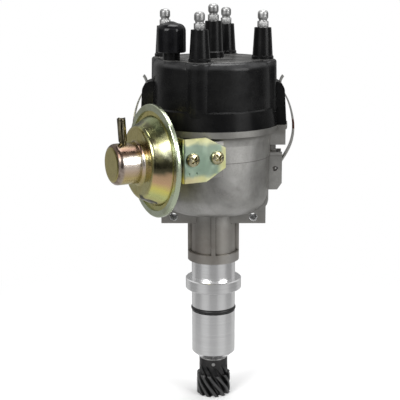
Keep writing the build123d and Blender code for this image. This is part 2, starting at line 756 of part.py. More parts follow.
# One tooth gap: a trapezium that turns with height and climbs out through the hub
gap_levels = [-1.0, TEETH_L / 3, 2 * TEETH_L / 3, TEETH_L]
gap_levels += [TEETH_L + RUNOUT_L * step / RUNOUT_STEPS for step in range(1, RUNOUT_STEPS + 1)]
with BuildPart() as tooth_gap:
    for level in gap_levels:
        beyond = max(0.0, level - TEETH_L) / RUNOUT_L
        floor_r = ROOT_R + (HUB_R + FREE - ROOT_R) * beyond ** 2
        reach = TIP_R + CUTTER_OVER - ROOT_R
        floor_w = PITCH_R * radians(180 / TEETH) - 2 * FLANK * (PITCH_R - ROOT_R)
        with BuildSketch(Plane.XY.offset(GEAR_BOTTOM + level)):
            with BuildLine(Rot(0, 0, GEAR_TURN + TWIST * level)):
                Polyline(
                    (floor_r, -floor_w / 2),
                    (floor_r + reach, -floor_w / 2 - FLANK * reach),
                    (floor_r + reach, floor_w / 2 + FLANK * reach),
                    (floor_r, floor_w / 2),
                    close=True,
                )
            make_face()
    loft()

with BuildPart() as drive_gear:
    with BuildSketch(Plane.XZ):
        with BuildLine():
            Polyline(
                (0, GEAR_BOTTOM),
                (TIP_R - TIP_CHAMFER, GEAR_BOTTOM),
                (TIP_R, GEAR_BOTTOM + TIP_CHAMFER),
                (TIP_R, GEAR_BOTTOM + TEETH_L - TIP_CHAMFER),
                (TIP_R - TIP_CHAMFER, GEAR_BOTTOM + TEETH_L),
                (HUB_R, GEAR_BOTTOM + TEETH_L),
                (HUB_R, GEAR_TOP - EDGE),
                (HUB_R - EDGE, GEAR_TOP),
                (0, GEAR_TOP),
                close=True,
            )
        make_face()
    revolve(axis=Axis.Z)
    with PolarLocations(0, TEETH):
        add(tooth_gap.part, mode=Mode.SUBTRACT)
    with BuildSketch(Plane.XY.offset(GEAR_BOTTOM)):
        Circle(GEAR_SEAT_R)
    extrude(amount=GEAR_L, mode=Mode.SUBTRACT)
    with BuildSketch(Plane.XZ):
        with Locations((0, GEAR_PIN_Z)):
            Circle(GEAR_PIN_R)
    extrude(amount=HUB_R, both=True, mode=Mode.SUBTRACT)
drive_gear.part.label = "drive_gear"
export_step(drive_gear.part, "parts/drive_gear.step")

with BuildPart() as gear_pin:
    with BuildSketch(Plane.XZ):
        with Locations((0, GEAR_PIN_Z)):
            Circle(GEAR_PIN_R)
    extrude(amount=HUB_R - EDGE / 2, both=True)
gear_pin.part.label = "gear_pin"
export_step(gear_pin.part, "parts/gear_pin.step")

# Centrifugal advance: plate and posts on the shaft, two weights, two springs
with BuildPart() as governor_plate:
    with BuildSketch(Plane.XY.offset(GOV_PLATE_Z)):
        Circle(GOV_PLATE_R)
        Rectangle(2 * GOV_PLATE_R, GOV_PLATE_W, mode=Mode.INTERSECT)
        Circle(GOV_SEAT_R, mode=Mode.SUBTRACT)
        with Locations((POST_PITCH_R, 0), (-POST_PITCH_R, 0)):
            Circle(POST_R, mode=Mode.SUBTRACT)
    extrude(amount=GOV_PLATE_T)
governor_plate.part.label = "governor_plate"
export_step(governor_plate.part, "parts/governor_plate.step")

with BuildPart() as weight_posts:
    with BuildSketch(Plane.XY.offset(GOV_PLATE_Z)):
        with Locations((POST_PITCH_R, 0), (-POST_PITCH_R, 0)):
            Circle(POST_R)
    extrude(amount=YOKE_TOP + SPRING_UP + 2 * GOV_WIRE_R + EDGE - GOV_PLATE_Z)
weight_posts.part.label = "weight_posts"
export_step(weight_posts.part, "parts/weight_posts.step")

pin_x = POST_PITCH_R - DRIVE_PIN_ARM * cos(radians(WEIGHT_LEAN))
pin_y = -DRIVE_PIN_ARM * sin(radians(WEIGHT_LEAN))
for number, turn in ((1, 0.0), (2, 180.0)):
    with BuildPart() as weight:
        with BuildSketch(Plane.XY.offset(WEIGHT_Z)):
            with BuildLine():
                outer = CenterArc((0, 0), WEIGHT_OUT_R, WEIGHT_START, WEIGHT_END - WEIGHT_START)
                inner = CenterArc((0, 0), WEIGHT_IN_R, WEIGHT_START, WEIGHT_END - WEIGHT_START)
                Line(outer @ 0, inner @ 0)
                Line(outer @ 1, inner @ 1)
            make_face()
            with Locations((POST_PITCH_R, 0)):
                Circle(WEIGHT_EYE_R)
            with Locations((pin_x, pin_y)):
                Circle(DRIVE_BOSS_R)
            with Locations((POST_PITCH_R, 0)):
                Circle(POST_R + RUNNING, mode=Mode.SUBTRACT)
        extrude(amount=WEIGHT_T)
        with BuildSketch(Plane.XY.offset(WEIGHT_TOP)):
            with Locations((pin_x, pin_y)):
                Circle(DRIVE_PIN_R)
        extrude(amount=FREE + YOKE_T)
    placed = weight.part.rotate(Axis.Z, turn)
    placed.label = f"weight_{number}"
    export_step(placed, f"parts/weight_{number}.step")

tab = polar(TAB_R, TAB_TURN)
spring_z = YOKE_TOP + SPRING_UP
hook_gap = 0.1
post_ring_r = POST_R + GOV_WIRE_R + hook_gap
tab_ring_r = TAB_PIN_R + GOV_WIRE_R + hook_gap
post_top = Vector(POST_PITCH_R, 0, spring_z)
tab_top = tab + Vector(0, 0, spring_z)
pull = (tab_top - post_top).normalized()
coil_mid = (post_top + pull * post_ring_r + tab_top - pull * tab_ring_r) / 2
coil_start = coil_mid - pull * GOV_COIL_L / 2
coil_end = coil_mid + pull * GOV_COIL_L / 2
for number, turn in ((1, 0.0), (2, 180.0)):
    with BuildPart() as governor_spring:
        path = spring_path(coil_start, coil_end, GOV_COIL_R, GOV_TURNS)
        with BuildSketch(Plane(path @ 0, z_dir=path % 0)):
            Circle(GOV_WIRE_R)
        sweep(path=path)
        for ring_centre, ring_r, coil_point in (
            (post_top, post_ring_r, path @ 0),
            (tab_top, tab_ring_r, path @ 1),
        ):
            with BuildSketch(Plane(ring_centre, x_dir=(1, 0, 0), z_dir=(0, -1, 0))):
                with Locations((ring_r, 0)):
                    Circle(GOV_WIRE_R)
            revolve(axis=Axis(ring_centre, (0, 0, 1)))
            toward = (coil_mid - ring_centre).normalized()
            leg_start = ring_centre + toward * ring_r
            with BuildSketch(Plane(leg_start, z_dir=coil_point - leg_start)):
                Circle(GOV_WIRE_R)
            extrude(amount=(coil_point - leg_start).length)
    placed = governor_spring.part.rotate(Axis.Z, turn)
    placed.label = f"governor_spring_{number}"
    export_step(placed, f"parts/governor_spring_{number}.step")

# Sleeve that the weights turn on the spindle, with its yoke, reluctor and rotor arm
with BuildPart() as advance_yoke:
    with BuildSketch(Plane.XY.offset(YOKE_Z)):
        Circle(YOKE_HUB_R)
        with BuildLine(Rot(0, 0, -ADVANCE / 2)):
            Polyline(
                (-YOKE_R, -YOKE_W / 2),
                (YOKE_R, -YOKE_W / 2),
                (YOKE_R, YOKE_W / 2),
                (-YOKE_R, YOKE_W / 2),
                close=True,
            )
        make_face()
        with PolarLocations(TAB_R / 2, 2, start_angle=TAB_TURN):
            Rectangle(TAB_R, TAB_W)
        with Locations(tab, -tab):
            Circle(TAB_W / 2)
        Circle(SLEEVE_R, mode=Mode.SUBTRACT)
        with Locations((pin_x, pin_y), (-pin_x, -pin_y)):
            Circle(DRIVE_PIN_R + SLOT_PLAY, mode=Mode.SUBTRACT)
    extrude(amount=YOKE_T)
    with BuildSketch(Plane.XY.offset(YOKE_TOP)):
        with Locations(tab, -tab):
            Circle(TAB_PIN_R)
    extrude(amount=SPRING_UP + 2 * GOV_WIRE_R + EDGE)
advance_yoke.part.label = "advance_yoke"
export_step(advance_yoke.part, "parts/advance_yoke.step")

with BuildPart() as advance_sleeve:
    with BuildSketch(Plane.XY.offset(YOKE_Z)):
        Circle(SLEEVE_R)
    extrude(amount=SLEEVE_L)
    with BuildSketch(Plane.XY.offset(YOKE_Z)):
        Circle(SPINDLE_R + RUNNING)
    extrude(amount=SLEEVE_L, mode=Mode.SUBTRACT)
    with BuildSketch(Plane.XY.offset(LEDGE_Z)):
        Circle(CUP_R)
    extrude(amount=CUP_DEPTH, mode=Mode.SUBTRACT)
    with BuildSketch(Plane.XY.offset(SLEEVE_TOP)):
        with Locations((KEY_FLAT + SLEEVE_R, 0)):
            Rectangle(2 * SLEEVE_R, 2 * SLEEVE_R)
    extrude(amount=-KEY_L, mode=Mode.SUBTRACT)
advance_sleeve.part.label = "advance_sleeve"
export_step(advance_sleeve.part, "parts/advance_sleeve.step")

with BuildPart() as reluctor:
    with BuildSketch(Plane.XY.offset(RELUCTOR_Z)):
        Circle(RELUCTOR_TIP_R)
        with BuildSketch(mode=Mode.INTERSECT):
            with PolarLocations(RELUCTOR_TIP_R / 2, CYLINDERS, start_angle=PICKUP_TURN - 20):
                Rectangle(RELUCTOR_TIP_R + RELUCTOR_TIP_W, RELUCTOR_TIP_W)
            Circle(RELUCTOR_HUB_R)
        Circle(SLEEVE_R, mode=Mode.SUBTRACT)
    extrude(amount=RELUCTOR_H)
reluctor.part.label = "reluctor"
export_step(reluctor.part, "parts/reluctor.step")

with BuildPart() as sleeve_washer:
    with BuildSketch(Plane.XY.offset(SPINDLE_TOP)):
        Circle(CUP_R - FREE)
        Circle(CUP_SCREW_R, mode=Mode.SUBTRACT)
    extrude(amount=CUP_WASHER_T)
sleeve_washer.part.label = "sleeve_washer"
export_step(sleeve_washer.part, "parts/sleeve_washer.step")

with BuildPart() as sleeve_screw:
    with BuildSketch(Plane.XY.offset(SPINDLE_TOP - CUP_SCREW_L + EDGE)):
        Circle(CUP_SCREW_R)
    extrude(amount=CUP_SCREW_L - EDGE + CUP_WASHER_T)
    with BuildSketch(Plane.XY.offset(SPINDLE_TOP + CUP_WASHER_T)):
        Circle(CUP_HEAD_R)
    extrude(amount=CUP_HEAD_H)
    with BuildSketch(Plane.XY.offset(SPINDLE_TOP + CUP_WASHER_T + CUP_HEAD_H)):
        Rectangle(2 * CUP_HEAD_R, CROSS_W)
    extrude(amount=-CUP_HEAD_H / 2, mode=Mode.SUBTRACT)
sleeve_screw.part.label = "sleeve_screw"
export_step(sleeve_screw.part, "parts/sleeve_screw.step")

rotor_plane = Plane.XY.rotated((0, 0, ROTOR_TURN))
with BuildPart() as rotor_arm:
    with BuildSketch(Plane.XY.offset(ROTOR_BOTTOM)):
        Circle(ROTOR_HUB_R)
    extrude(amount=ROTOR_HUB_L)
    with BuildSketch(rotor_plane.offset(DECK_Z)):
        Circle(ROTOR_TAIL_R)
        with Locations((ROTOR_ARM_R / 2, 0)):
            Rectangle(ROTOR_ARM_R, ROTOR_ARM_W)
    extrude(amount=ROTOR_DECK_T)
    with BuildSketch(Plane.XY.offset(ROTOR_BOTTOM)):
        Circle(SLEEVE_R)
    extrude(amount=ROTOR_LAP + FREE, mode=Mode.SUBTRACT)
    with BuildSketch(Plane.XY.offset(SLEEVE_TOP - KEY_L)):
        Circle(SLEEVE_R)
        with Locations((KEY_FLAT - SLEEVE_R, 0)):
            Rectangle(2 * SLEEVE_R, 2 * SLEEVE_R, mode=Mode.SUBTRACT)
    extrude(amount=KEY_L + FREE)
rotor_arm.part.label = "rotor_arm"
export_step(rotor_arm.part, "parts/rotor_arm.step")

with BuildPart() as rotor_blade:
    with BuildSketch(rotor_plane.offset(DECK_TOP)):
        with Locations((BLADE_TIP_R / 2, 0)):
            Rectangle(BLADE_TIP_R, BLADE_W)
        Circle(BUTTON_R)
        Circle(BLADE_TIP_R, mode=Mode.INTERSECT)
    extrude(amount=BLADE_T)
rotor_blade.part.label = "rotor_blade"
export_step(rotor_blade.part, "parts/rotor_blade.step")

# Fixed plate in the bowl, with the collar that the pickup plate swings on
with BuildPart() as fixed_plate:
    with BuildSketch(Plane.XZ):
        with BuildLine():
            Polyline(
                (HUB_BORE_R, FIXED_PLATE_Z),
                (FIXED_PLATE_R, FIXED_PLATE_Z),
                (FIXED_PLATE_R, FIXED_PLATE_TOP),
                (THRUST_STEP_R, FIXED_PLATE_TOP),
                (THRUST_STEP_R, FIXED_PLATE_TOP + THRUST_STEP_H),
                (HUB_COLLAR_R, FIXED_PLATE_TOP + THRUST_STEP_H),
                (HUB_COLLAR_R, PICKUP_PLATE_TOP + END_PLAY),
                (HUB_COLLAR_R - HOLDER_W / 2, PICKUP_PLATE_TOP + END_PLAY),
                (HUB_COLLAR_R - HOLDER_W / 2, PICKUP_PLATE_TOP + END_PLAY + HOLDER_T),
                (HUB_COLLAR_R, PICKUP_PLATE_TOP + END_PLAY + HOLDER_T),
                (HUB_COLLAR_R, FIXED_PLATE_TOP + COLLAR_L),
                (HUB_BORE_R, FIXED_PLATE_TOP + COLLAR_L),
                close=True,
            )
        make_face()
    revolve(axis=Axis.Z)
    with BuildSketch(Plane.XY.offset(FIXED_PLATE_Z)):
        with Locations(*[polar(LUG_PITCH_R, turn) for turn in LUG_TURNS]):
            Circle(SMALL_SCREW_R)
    extrude(amount=FIXED_PLATE_T, mode=Mode.SUBTRACT)
fixed_plate.part.label = "fixed_plate"
export_step(fixed_plate.part, "parts/fixed_plate.step")

with BuildPart() as plate_screws:
    with BuildSketch(Plane.XY.offset(FIXED_PLATE_Z - SMALL_SCREW_L + EDGE)):
        with Locations(*[polar(LUG_PITCH_R, turn) for turn in LUG_TURNS]):
            Circle(SMALL_SCREW_R)
    extrude(amount=SMALL_SCREW_L - EDGE + FIXED_PLATE_T)
    with BuildSketch(Plane.XY.offset(FIXED_PLATE_TOP)):
        with Locations(*[polar(LUG_PITCH_R, turn) for turn in LUG_TURNS]):
            Circle(SMALL_HEAD_R)
    extrude(amount=SMALL_HEAD_H)
plate_screws.part.label = "plate_screws"
export_step(plate_screws.part, "parts/plate_screws.step")

with BuildPart() as plate_ring:
    with BuildSketch(Plane.XY.offset(PICKUP_PLATE_TOP + END_PLAY)):
        Circle(HUB_COLLAR_R + HOLDER_W / 2)
        Circle(HUB_COLLAR_R - HOLDER_W / 2, mode=Mode.SUBTRACT)
        with Locations((0, HUB_COLLAR_R)):
            Rectangle(HUB_BORE_R, 2 * HOLDER_W, mode=Mode.SUBTRACT)
    extrude(amount=HOLDER_T)
plate_ring.part.label = "plate_ring"
export_step(plate_ring.part, "parts/plate_ring.step")

# Pickup plate: a disc with a scallop for each fixed screw and its arc of swing
pickup_plane = Plane.XY.rotated((0, 0, PICKUP_TURN))
iron_in = RELUCTOR_TIP_R + POLE_GAP + COIL_L
iron_x = iron_in - IRON_FOOT + SMALL_HEAD_R + EDGE / 2
iron_screws = ((iron_x, -IRON_SCREW_Y), (iron_x, IRON_SCREW_Y))
with BuildPart() as pickup_plate:
    with BuildSketch(Plane.XY.offset(PICKUP_PLATE_Z)):
        Circle(PICKUP_PLATE_R)
        Circle(HUB_COLLAR_R + RUNNING, mode=Mode.SUBTRACT)
        for turn in LUG_TURNS:
            with BuildLine():
                CenterArc((0, 0), LUG_PITCH_R, turn, PLATE_SWING)
            trace(line_width=2 * (SMALL_HEAD_R + FREE), mode=Mode.SUBTRACT)
            with Locations(polar(LUG_PITCH_R, turn), polar(LUG_PITCH_R, turn + PLATE_SWING)):
                Circle(SMALL_HEAD_R + FREE, mode=Mode.SUBTRACT)
    extrude(amount=PICKUP_PLATE_T)
    with BuildSketch(pickup_plane.offset(PICKUP_PLATE_Z)):
        with Locations(*iron_screws):
            Circle(SMALL_SCREW_R)
    extrude(amount=PICKUP_PLATE_T, mode=Mode.SUBTRACT)
pickup_plate.part.label = "pickup_plate"
export_step(pickup_plate.part, "parts/pickup_plate.step")

rod_bottom = CAN_Z - ROD_T / 2
with BuildPart() as rod_pin:
    with BuildSketch(Plane.XY.offset(PICKUP_PLATE_TOP)):
        with Locations(ROD_PIN):
            Circle(ROD_EYE_R)
    extrude(amount=rod_bottom - END_PLAY - PICKUP_PLATE_TOP)
    with BuildSketch(Plane.XY.offset(PICKUP_PLATE_TOP)):
        with Locations(ROD_PIN):
            Circle(ROD_PIN_R)
    extrude(amount=rod_bottom + ROD_T + ROD_CLIP_T + 3 * END_PLAY + EDGE - PICKUP_PLATE_TOP)
rod_pin.part.label = "rod_pin"
export_step(rod_pin.part, "parts/rod_pin.step")

with BuildPart() as rod_clip:
    with BuildSketch(Plane.XY.offset(rod_bottom + ROD_T + END_PLAY)):
        with Locations(ROD_PIN):
            Circle(ROD_CLIP_R)
            Circle(ROD_PIN_R, mode=Mode.SUBTRACT)
        with Locations(ROD_PIN + CAN_DIR * ROD_CLIP_R):
            Rectangle(ROD_PIN_R, ROD_PIN_R, rotation=CAN_TURN, mode=Mode.SUBTRACT)
    extrude(amount=ROD_CLIP_T)
rod_clip.part.label = "rod_clip"
export_step(rod_clip.part, "parts/rod_clip.step")

coil_z = RELUCTOR_Z + RELUCTOR_H / 2
with BuildPart() as pickup_iron:
    with BuildSketch(pickup_plane.offset(PICKUP_PLATE_TOP)):
        with Locations((iron_in + (IRON_T - IRON_FOOT) / 2, 0)):
            Rectangle(IRON_T + IRON_FOOT, IRON_W)
        with Locations(*iron_screws):
            Circle(SMALL_SCREW_R, mode=Mode.SUBTRACT)
    extrude(amount=IRON_T)
    with BuildSketch(pickup_plane.offset(PICKUP_PLATE_TOP)):
        with Locations((iron_in + IRON_T / 2, 0)):
            Rectangle(IRON_T, IRON_W)
    extrude(amount=coil_z + POLE_W - PICKUP_PLATE_TOP)
    with BuildSketch(pickup_plane.offset(coil_z - POLE_W / 2)):
        with Locations(((iron_in + iron_in - COIL_L) / 2, 0)):
            Rectangle(COIL_L, POLE_W)
    extrude(amount=POLE_W)
pickup_iron.part.label = "pickup_iron"
export_step(pickup_iron.part, "parts/pickup_iron.step")

with BuildPart() as pickup_screws:
    with BuildSketch(pickup_plane.offset(PICKUP_PLATE_Z + EDGE)):
        with Locations(*iron_screws):
            Circle(SMALL_SCREW_R)
    extrude(amount=PICKUP_PLATE_T + IRON_T - EDGE)
    with BuildSketch(pickup_plane.offset(PICKUP_PLATE_TOP + IRON_T)):
        with Locations(*iron_screws):
            Circle(SMALL_HEAD_R)
    extrude(amount=SMALL_HEAD_H)
pickup_screws.part.label = "pickup_screws"
export_step(pickup_screws.part, "parts/pickup_screws.step")

coil_plane = Plane(polar(iron_in, PICKUP_TURN, coil_z), x_dir=(0, 0, 1), z_dir=-polar(1, PICKUP_TURN))
with BuildPart() as pickup_coil:
    with BuildSketch(coil_plane):
        Circle(COIL_R)
    extrude(amount=COIL_L - POLE_GAP)
    with BuildSketch(coil_plane.offset(COIL_FLANGE_T)):
        Circle(COIL_R)
        Circle(COIL_R - COIL_FLANGE_T, mode=Mode.SUBTRACT)
    extrude(amount=COIL_L - POLE_GAP - 2 * COIL_FLANGE_T, mode=Mode.SUBTRACT)
    with BuildSketch(coil_plane):
        Rectangle(POLE_W, POLE_W)
    extrude(amount=COIL_L, mode=Mode.SUBTRACT)
pickup_coil.part.label = "pickup_coil"
export_step(pickup_coil.part, "parts/pickup_coil.step")

# Vacuum unit
with BuildPart() as front_shell:
    rim = CAN_RIM_FRONT
    with BuildSketch(CAN_HALF):
        with BuildLine():
            Polyline(
                (0, NOSE_END - CAN_SKIN),
                (0, NOSE_END),
                (CAN_NOSE_R - CAN_NOSE_ROUND, NOSE_END),
            )
            TangentArc(
                (CAN_NOSE_R - CAN_NOSE_ROUND, NOSE_END),
                (CAN_NOSE_R, NOSE_END - CAN_NOSE_ROUND),
                tangent=(1, 0),
            )
            Line((CAN_NOSE_R, NOSE_END - CAN_NOSE_ROUND), (CAN_NOSE_R, rim + FACE_S + CAN_FILLET))
            TangentArc(
                (CAN_NOSE_R, rim + FACE_S + CAN_FILLET),
                (CAN_NOSE_R + CAN_FILLET, rim + FACE_S),
                tangent=(0, -1),
            )
            Line((CAN_NOSE_R + CAN_FILLET, rim + FACE_S), (SHOULDER_R - SHOULDER_ROUND, rim + FACE_S))
            TangentArc(
                (SHOULDER_R - SHOULDER_ROUND, rim + FACE_S),
                (SHOULDER_R, rim + SHOULDER_S),
                tangent=(1, 0),
            )
            Polyline(
                (SHOULDER_R, rim + SHOULDER_S),
                (CONE_R, rim - RECESS),
                (RECESS_R, rim - RECESS),
                (RECESS_R, rim),
                (CAN_RIM_R - CRIMP, rim),
            )
            TangentArc((CAN_RIM_R - CRIMP, rim), (CAN_RIM_R, rim - CRIMP), tangent=(1, 0))
            Line((CAN_RIM_R, rim - CRIMP), (CAN_RIM_R, rim - CRIMP_L + CRIMP))
            TangentArc(
                (CAN_RIM_R, rim - CRIMP_L + CRIMP),
                (CAN_RIM_R - CRIMP, rim - CRIMP_L),
                tangent=(0, -1),
            )
            Polyline(
                (CAN_RIM_R - CRIMP, rim - CRIMP_L),
                (CAN_RIM_R - CRIMP_LAP, rim - CRIMP_L),
                (CAN_RIM_R - CRIMP_LAP, CLAMP_S - DIAPHRAGM_T - REAR_FLANGE_T),
                (CAN_RIM_R - CRIMP, CLAMP_S - DIAPHRAGM_T - REAR_FLANGE_T),
                (CAN_RIM_R - CRIMP, CLAMP_S),
                (CONE_R - CAN_SKIN, CLAMP_S),
                (SHOULDER_R - CAN_SKIN, rim + SHOULDER_S - CAN_SKIN / 2),
                (SHOULDER_R - SHOULDER_ROUND - CAN_SKIN / 2, rim + FACE_S - CAN_SKIN),
                (CAN_NOSE_R - CAN_SKIN, rim + FACE_S - CAN_SKIN),
                (CAN_NOSE_R - CAN_SKIN, NOSE_END - CAN_NOSE_ROUND),
            )
            TangentArc(
                (CAN_NOSE_R - CAN_SKIN, NOSE_END - CAN_NOSE_ROUND),
                (CAN_NOSE_R - CAN_NOSE_ROUND, NOSE_END - CAN_SKIN),
                tangent=(0, 1),
            )
            Line((CAN_NOSE_R - CAN_NOSE_ROUND, NOSE_END - CAN_SKIN), (0, NOSE_END - CAN_SKIN))
        make_face()
    revolve(axis=CAN_AXIS)
    with BuildSketch(NIPPLE_PLANE):
        Circle(NIPPLE_SPIGOT_R)
    extrude(amount=2 * CAN_SKIN, both=True, mode=Mode.SUBTRACT)
front_shell.part.label = "front_shell"
export_step(front_shell.part, "parts/front_shell.step")

with BuildPart() as nipple:
    with BuildSketch(NIPPLE_PLANE.offset(NIPPLE_SPIGOT_H)):
        Circle(NIPPLE_R)
    extrude(amount=NIPPLE_H - NIPPLE_SPIGOT_H)
    with BuildSketch(NIPPLE_PLANE.offset(NIPPLE_SPIGOT_H)):
        Circle(NIPPLE_SPIGOT_R)
    extrude(amount=-NIPPLE_SPIGOT_H - SPIGOT_INTO)
    with BuildSketch(NIPPLE_PLANE.offset(NIPPLE_H)):
        Circle(NIPPLE_BORE_R)
    extrude(amount=-NIPPLE_H - SPIGOT_INTO, mode=Mode.SUBTRACT)
nipple.part.label = "nipple"
export_step(nipple.part, "parts/nipple.step")

flange_back = CLAMP_S - DIAPHRAGM_T - REAR_FLANGE_T
with BuildPart() as rear_shell:
    lap_r = CAN_RIM_R - CRIMP_LAP
    with BuildSketch(CAN_HALF):
        with BuildLine():
            Polyline(
                (CAN_NECK_R - CAN_SKIN, CAN_BACK - PLATE_T),
                (CAN_NECK_R, CAN_BACK - PLATE_T),
                (CAN_NECK_R, CAN_BACK),
                (CAN_BACK_R, CAN_BACK),
                (lap_r - CAN_SKIN, flange_back),
                (CAN_RIM_R - CRIMP, flange_back),
                (CAN_RIM_R - CRIMP, flange_back + REAR_FLANGE_T),
                (lap_r - 2 * CAN_SKIN, flange_back + REAR_FLANGE_T),
                (CAN_BACK_R - CAN_SKIN / 2, CAN_BACK + CAN_SKIN),
                (CAN_NECK_R - CAN_SKIN, CAN_BACK + CAN_SKIN),
                close=True,
            )
        make_face()
    revolve(axis=CAN_AXIS)
rear_shell.part.label = "rear_shell"
export_step(rear_shell.part, "parts/rear_shell.step")

web_s = PISTON_S + PISTON_T
with BuildPart() as diaphragm:
    clamp_r = CAN_RIM_R - CRIMP_LAP - CLAMP_INSET
    with BuildSketch(CAN_HALF):
        with BuildLine():
            Polyline(
                (RIVET_R, web_s),
                (PISTON_R + PISTON_LIP, web_s),
                (clamp_r, CLAMP_S - DIAPHRAGM_T),
                (CAN_RIM_R - CRIMP, CLAMP_S - DIAPHRAGM_T),
                (CAN_RIM_R - CRIMP, CLAMP_S),
                (clamp_r, CLAMP_S),
                (PISTON_R + PISTON_LIP, web_s + DIAPHRAGM_T),
                (RIVET_R, web_s + DIAPHRAGM_T),
                close=True,
            )
        make_face()
    revolve(axis=CAN_AXIS)
diaphragm.part.label = "diaphragm"
export_step(diaphragm.part, "parts/diaphragm.step")

for name, start in (("piston_rear", PISTON_S), ("piston_front", web_s + DIAPHRAGM_T)):
    with BuildPart() as piston:
        with BuildSketch(CAN_CROSS.offset(start)):
            Circle(PISTON_R)
            Circle(RIVET_R, mode=Mode.SUBTRACT)
        extrude(amount=PISTON_T)
    piston.part.label = name
    export_step(piston.part, f"parts/{name}.step")

with BuildPart() as link_rod:
    with BuildSketch(Plane.XY.offset(rod_bottom)):
        with BuildLine():
            Polyline(
                ROD_PIN - CAN_SIDE * ROD_W / 2,
                CAN_SIDE * (CAN_OFFSET - ROD_W / 2) + CAN_DIR * PISTON_S,
                CAN_SIDE * (CAN_OFFSET + ROD_W / 2) + CAN_DIR * PISTON_S,
                ROD_PIN + CAN_SIDE * ROD_W / 2,
                close=True,
            )
        make_face()
        with Locations(ROD_PIN):
            Circle(ROD_EYE_R)
            Circle(ROD_PIN_R + ROD_PLAY, mode=Mode.SUBTRACT)
    extrude(amount=ROD_T)
    with BuildSketch(CAN_CROSS.offset(PISTON_S - EDGE)):
        Circle(RIVET_R)
    extrude(amount=PISTON_FRONT_S - PISTON_S + EDGE)
    with BuildSketch(CAN_CROSS.offset(PISTON_FRONT_S)):
        Circle(RIVET_HEAD_R)
    extrude(amount=PISTON_T)
link_rod.part.label = "link_rod"
export_step(link_rod.part, "parts/link_rod.step")

with BuildPart() as vacuum_spring:
    path = spring_path(
        CAN_FOOT + CAN_DIR * (PISTON_FRONT_S + VAC_WIRE_R),
        CAN_FOOT + CAN_DIR * (NOSE_END - CAN_SKIN - VAC_WIRE_R),
        VAC_COIL_R,
        VAC_TURNS,
    )
    with BuildSketch(Plane(path @ 0, z_dir=path % 0)):
        Circle(VAC_WIRE_R)
    sweep(path=path)
vacuum_spring.part.label = "vacuum_spring"
export_step(vacuum_spring.part, "parts/vacuum_spring.step")

# L-shaped bracket: a plate on the pad and a leg behind the vacuum unit
with BuildPart() as bracket:
    with BuildSketch(PAD_PLANE):
        with BuildLine():
            Polyline(
                (-CAN_BACK, CAN_Z - PLATE_BELOW),
                (-(CAN_BACK - PLATE_CORNER_L), CAN_Z - PLATE_BELOW),
                (-(CAN_BACK - PLATE_L), CAN_Z - PLATE_NOSE_BELOW),
                (-(CAN_BACK - PLATE_L), CAN_Z + PLATE_NOSE_ABOVE),
                (-(CAN_BACK - PLATE_CORNER_L), CAN_Z + PLATE_ABOVE),
                (-CAN_BACK, CAN_Z + PLATE_ABOVE),
                close=True,
            )
        make_face()
    extrude(amount=PLATE_T)
    leg_width = PAD_FACE + PLATE_T - CAN_OFFSET + LEG_REACH
    with BuildSketch(CAN_CROSS.offset(CAN_BACK - PLATE_T)):
        with Locations((leg_width / 2 - LEG_REACH, (PLATE_ABOVE - PLATE_BELOW) / 2)):
            Rectangle(leg_width, PLATE_ABOVE + PLATE_BELOW)
        Circle(LEG_R)
        Circle(CAN_NECK_R, mode=Mode.SUBTRACT)
    extrude(amount=PLATE_T)
    bend = CAN_SIDE * (PAD_FACE + PLATE_T) + CAN_DIR * CAN_BACK + Vector(0, 0, CAN_Z)
    fillet(bracket.edges().filter_by(Axis.Z).sort_by_distance(bend)[0], radius=PLATE_BEND_R)
    with BuildSketch(PAD_PLANE):
        with Locations(*[(-s, SCREW_Z) for s in SCREW_S]):
            Circle(SCREW_R + SEATED)
    extrude(amount=PLATE_T, mode=Mode.SUBTRACT)
    with BuildSketch(PAD_PLANE.offset(PLATE_T)):
        with Locations(*[(-s, CAN_Z - DIMPLE_DOWN) for s in DIMPLE_S]):
            Circle(DIMPLE_R)
    extrude(amount=-DIMPLE_DEPTH, mode=Mode.SUBTRACT)
bracket.part.label = "bracket"
export_step(bracket.part, "parts/bracket.step")

with BuildPart() as bracket_screws:
    with BuildSketch(PAD_PLANE.offset(EDGE - SCREW_L)):
        with Locations(*[(-s, SCREW_Z) for s in SCREW_S]):
            Circle(SCREW_R)
    extrude(amount=SCREW_L - EDGE + PLATE_T)
    with BuildSketch(PAD_PLANE.offset(PLATE_T)):
        with Locations(*[(-s, SCREW_Z) for s in SCREW_S]):
            Circle(SCREW_HEAD_R)
    extrude(amount=SCREW_HEAD_H)
    rims = bracket_screws.edges().filter_by(GeomType.CIRCLE).sort_by(Axis(PAD_PLANE.origin, CAN_SIDE))[-2:]
    fillet(rims, radius=SCREW_HEAD_H / 2)
    with BuildSketch(PAD_PLANE.offset(PLATE_T + SCREW_HEAD_H)):
        for s in SCREW_S:
            with Locations((-s, SCREW_Z)):
                Rectangle(CROSS_L, CROSS_W)
                Rectangle(CROSS_W, CROSS_L)
    extrude(amount=-CROSS_DEPTH, mode=Mode.SUBTRACT)
bracket_screws.part.label = "bracket_screws"
export_step(bracket_screws.part, "parts/bracket_screws.step")

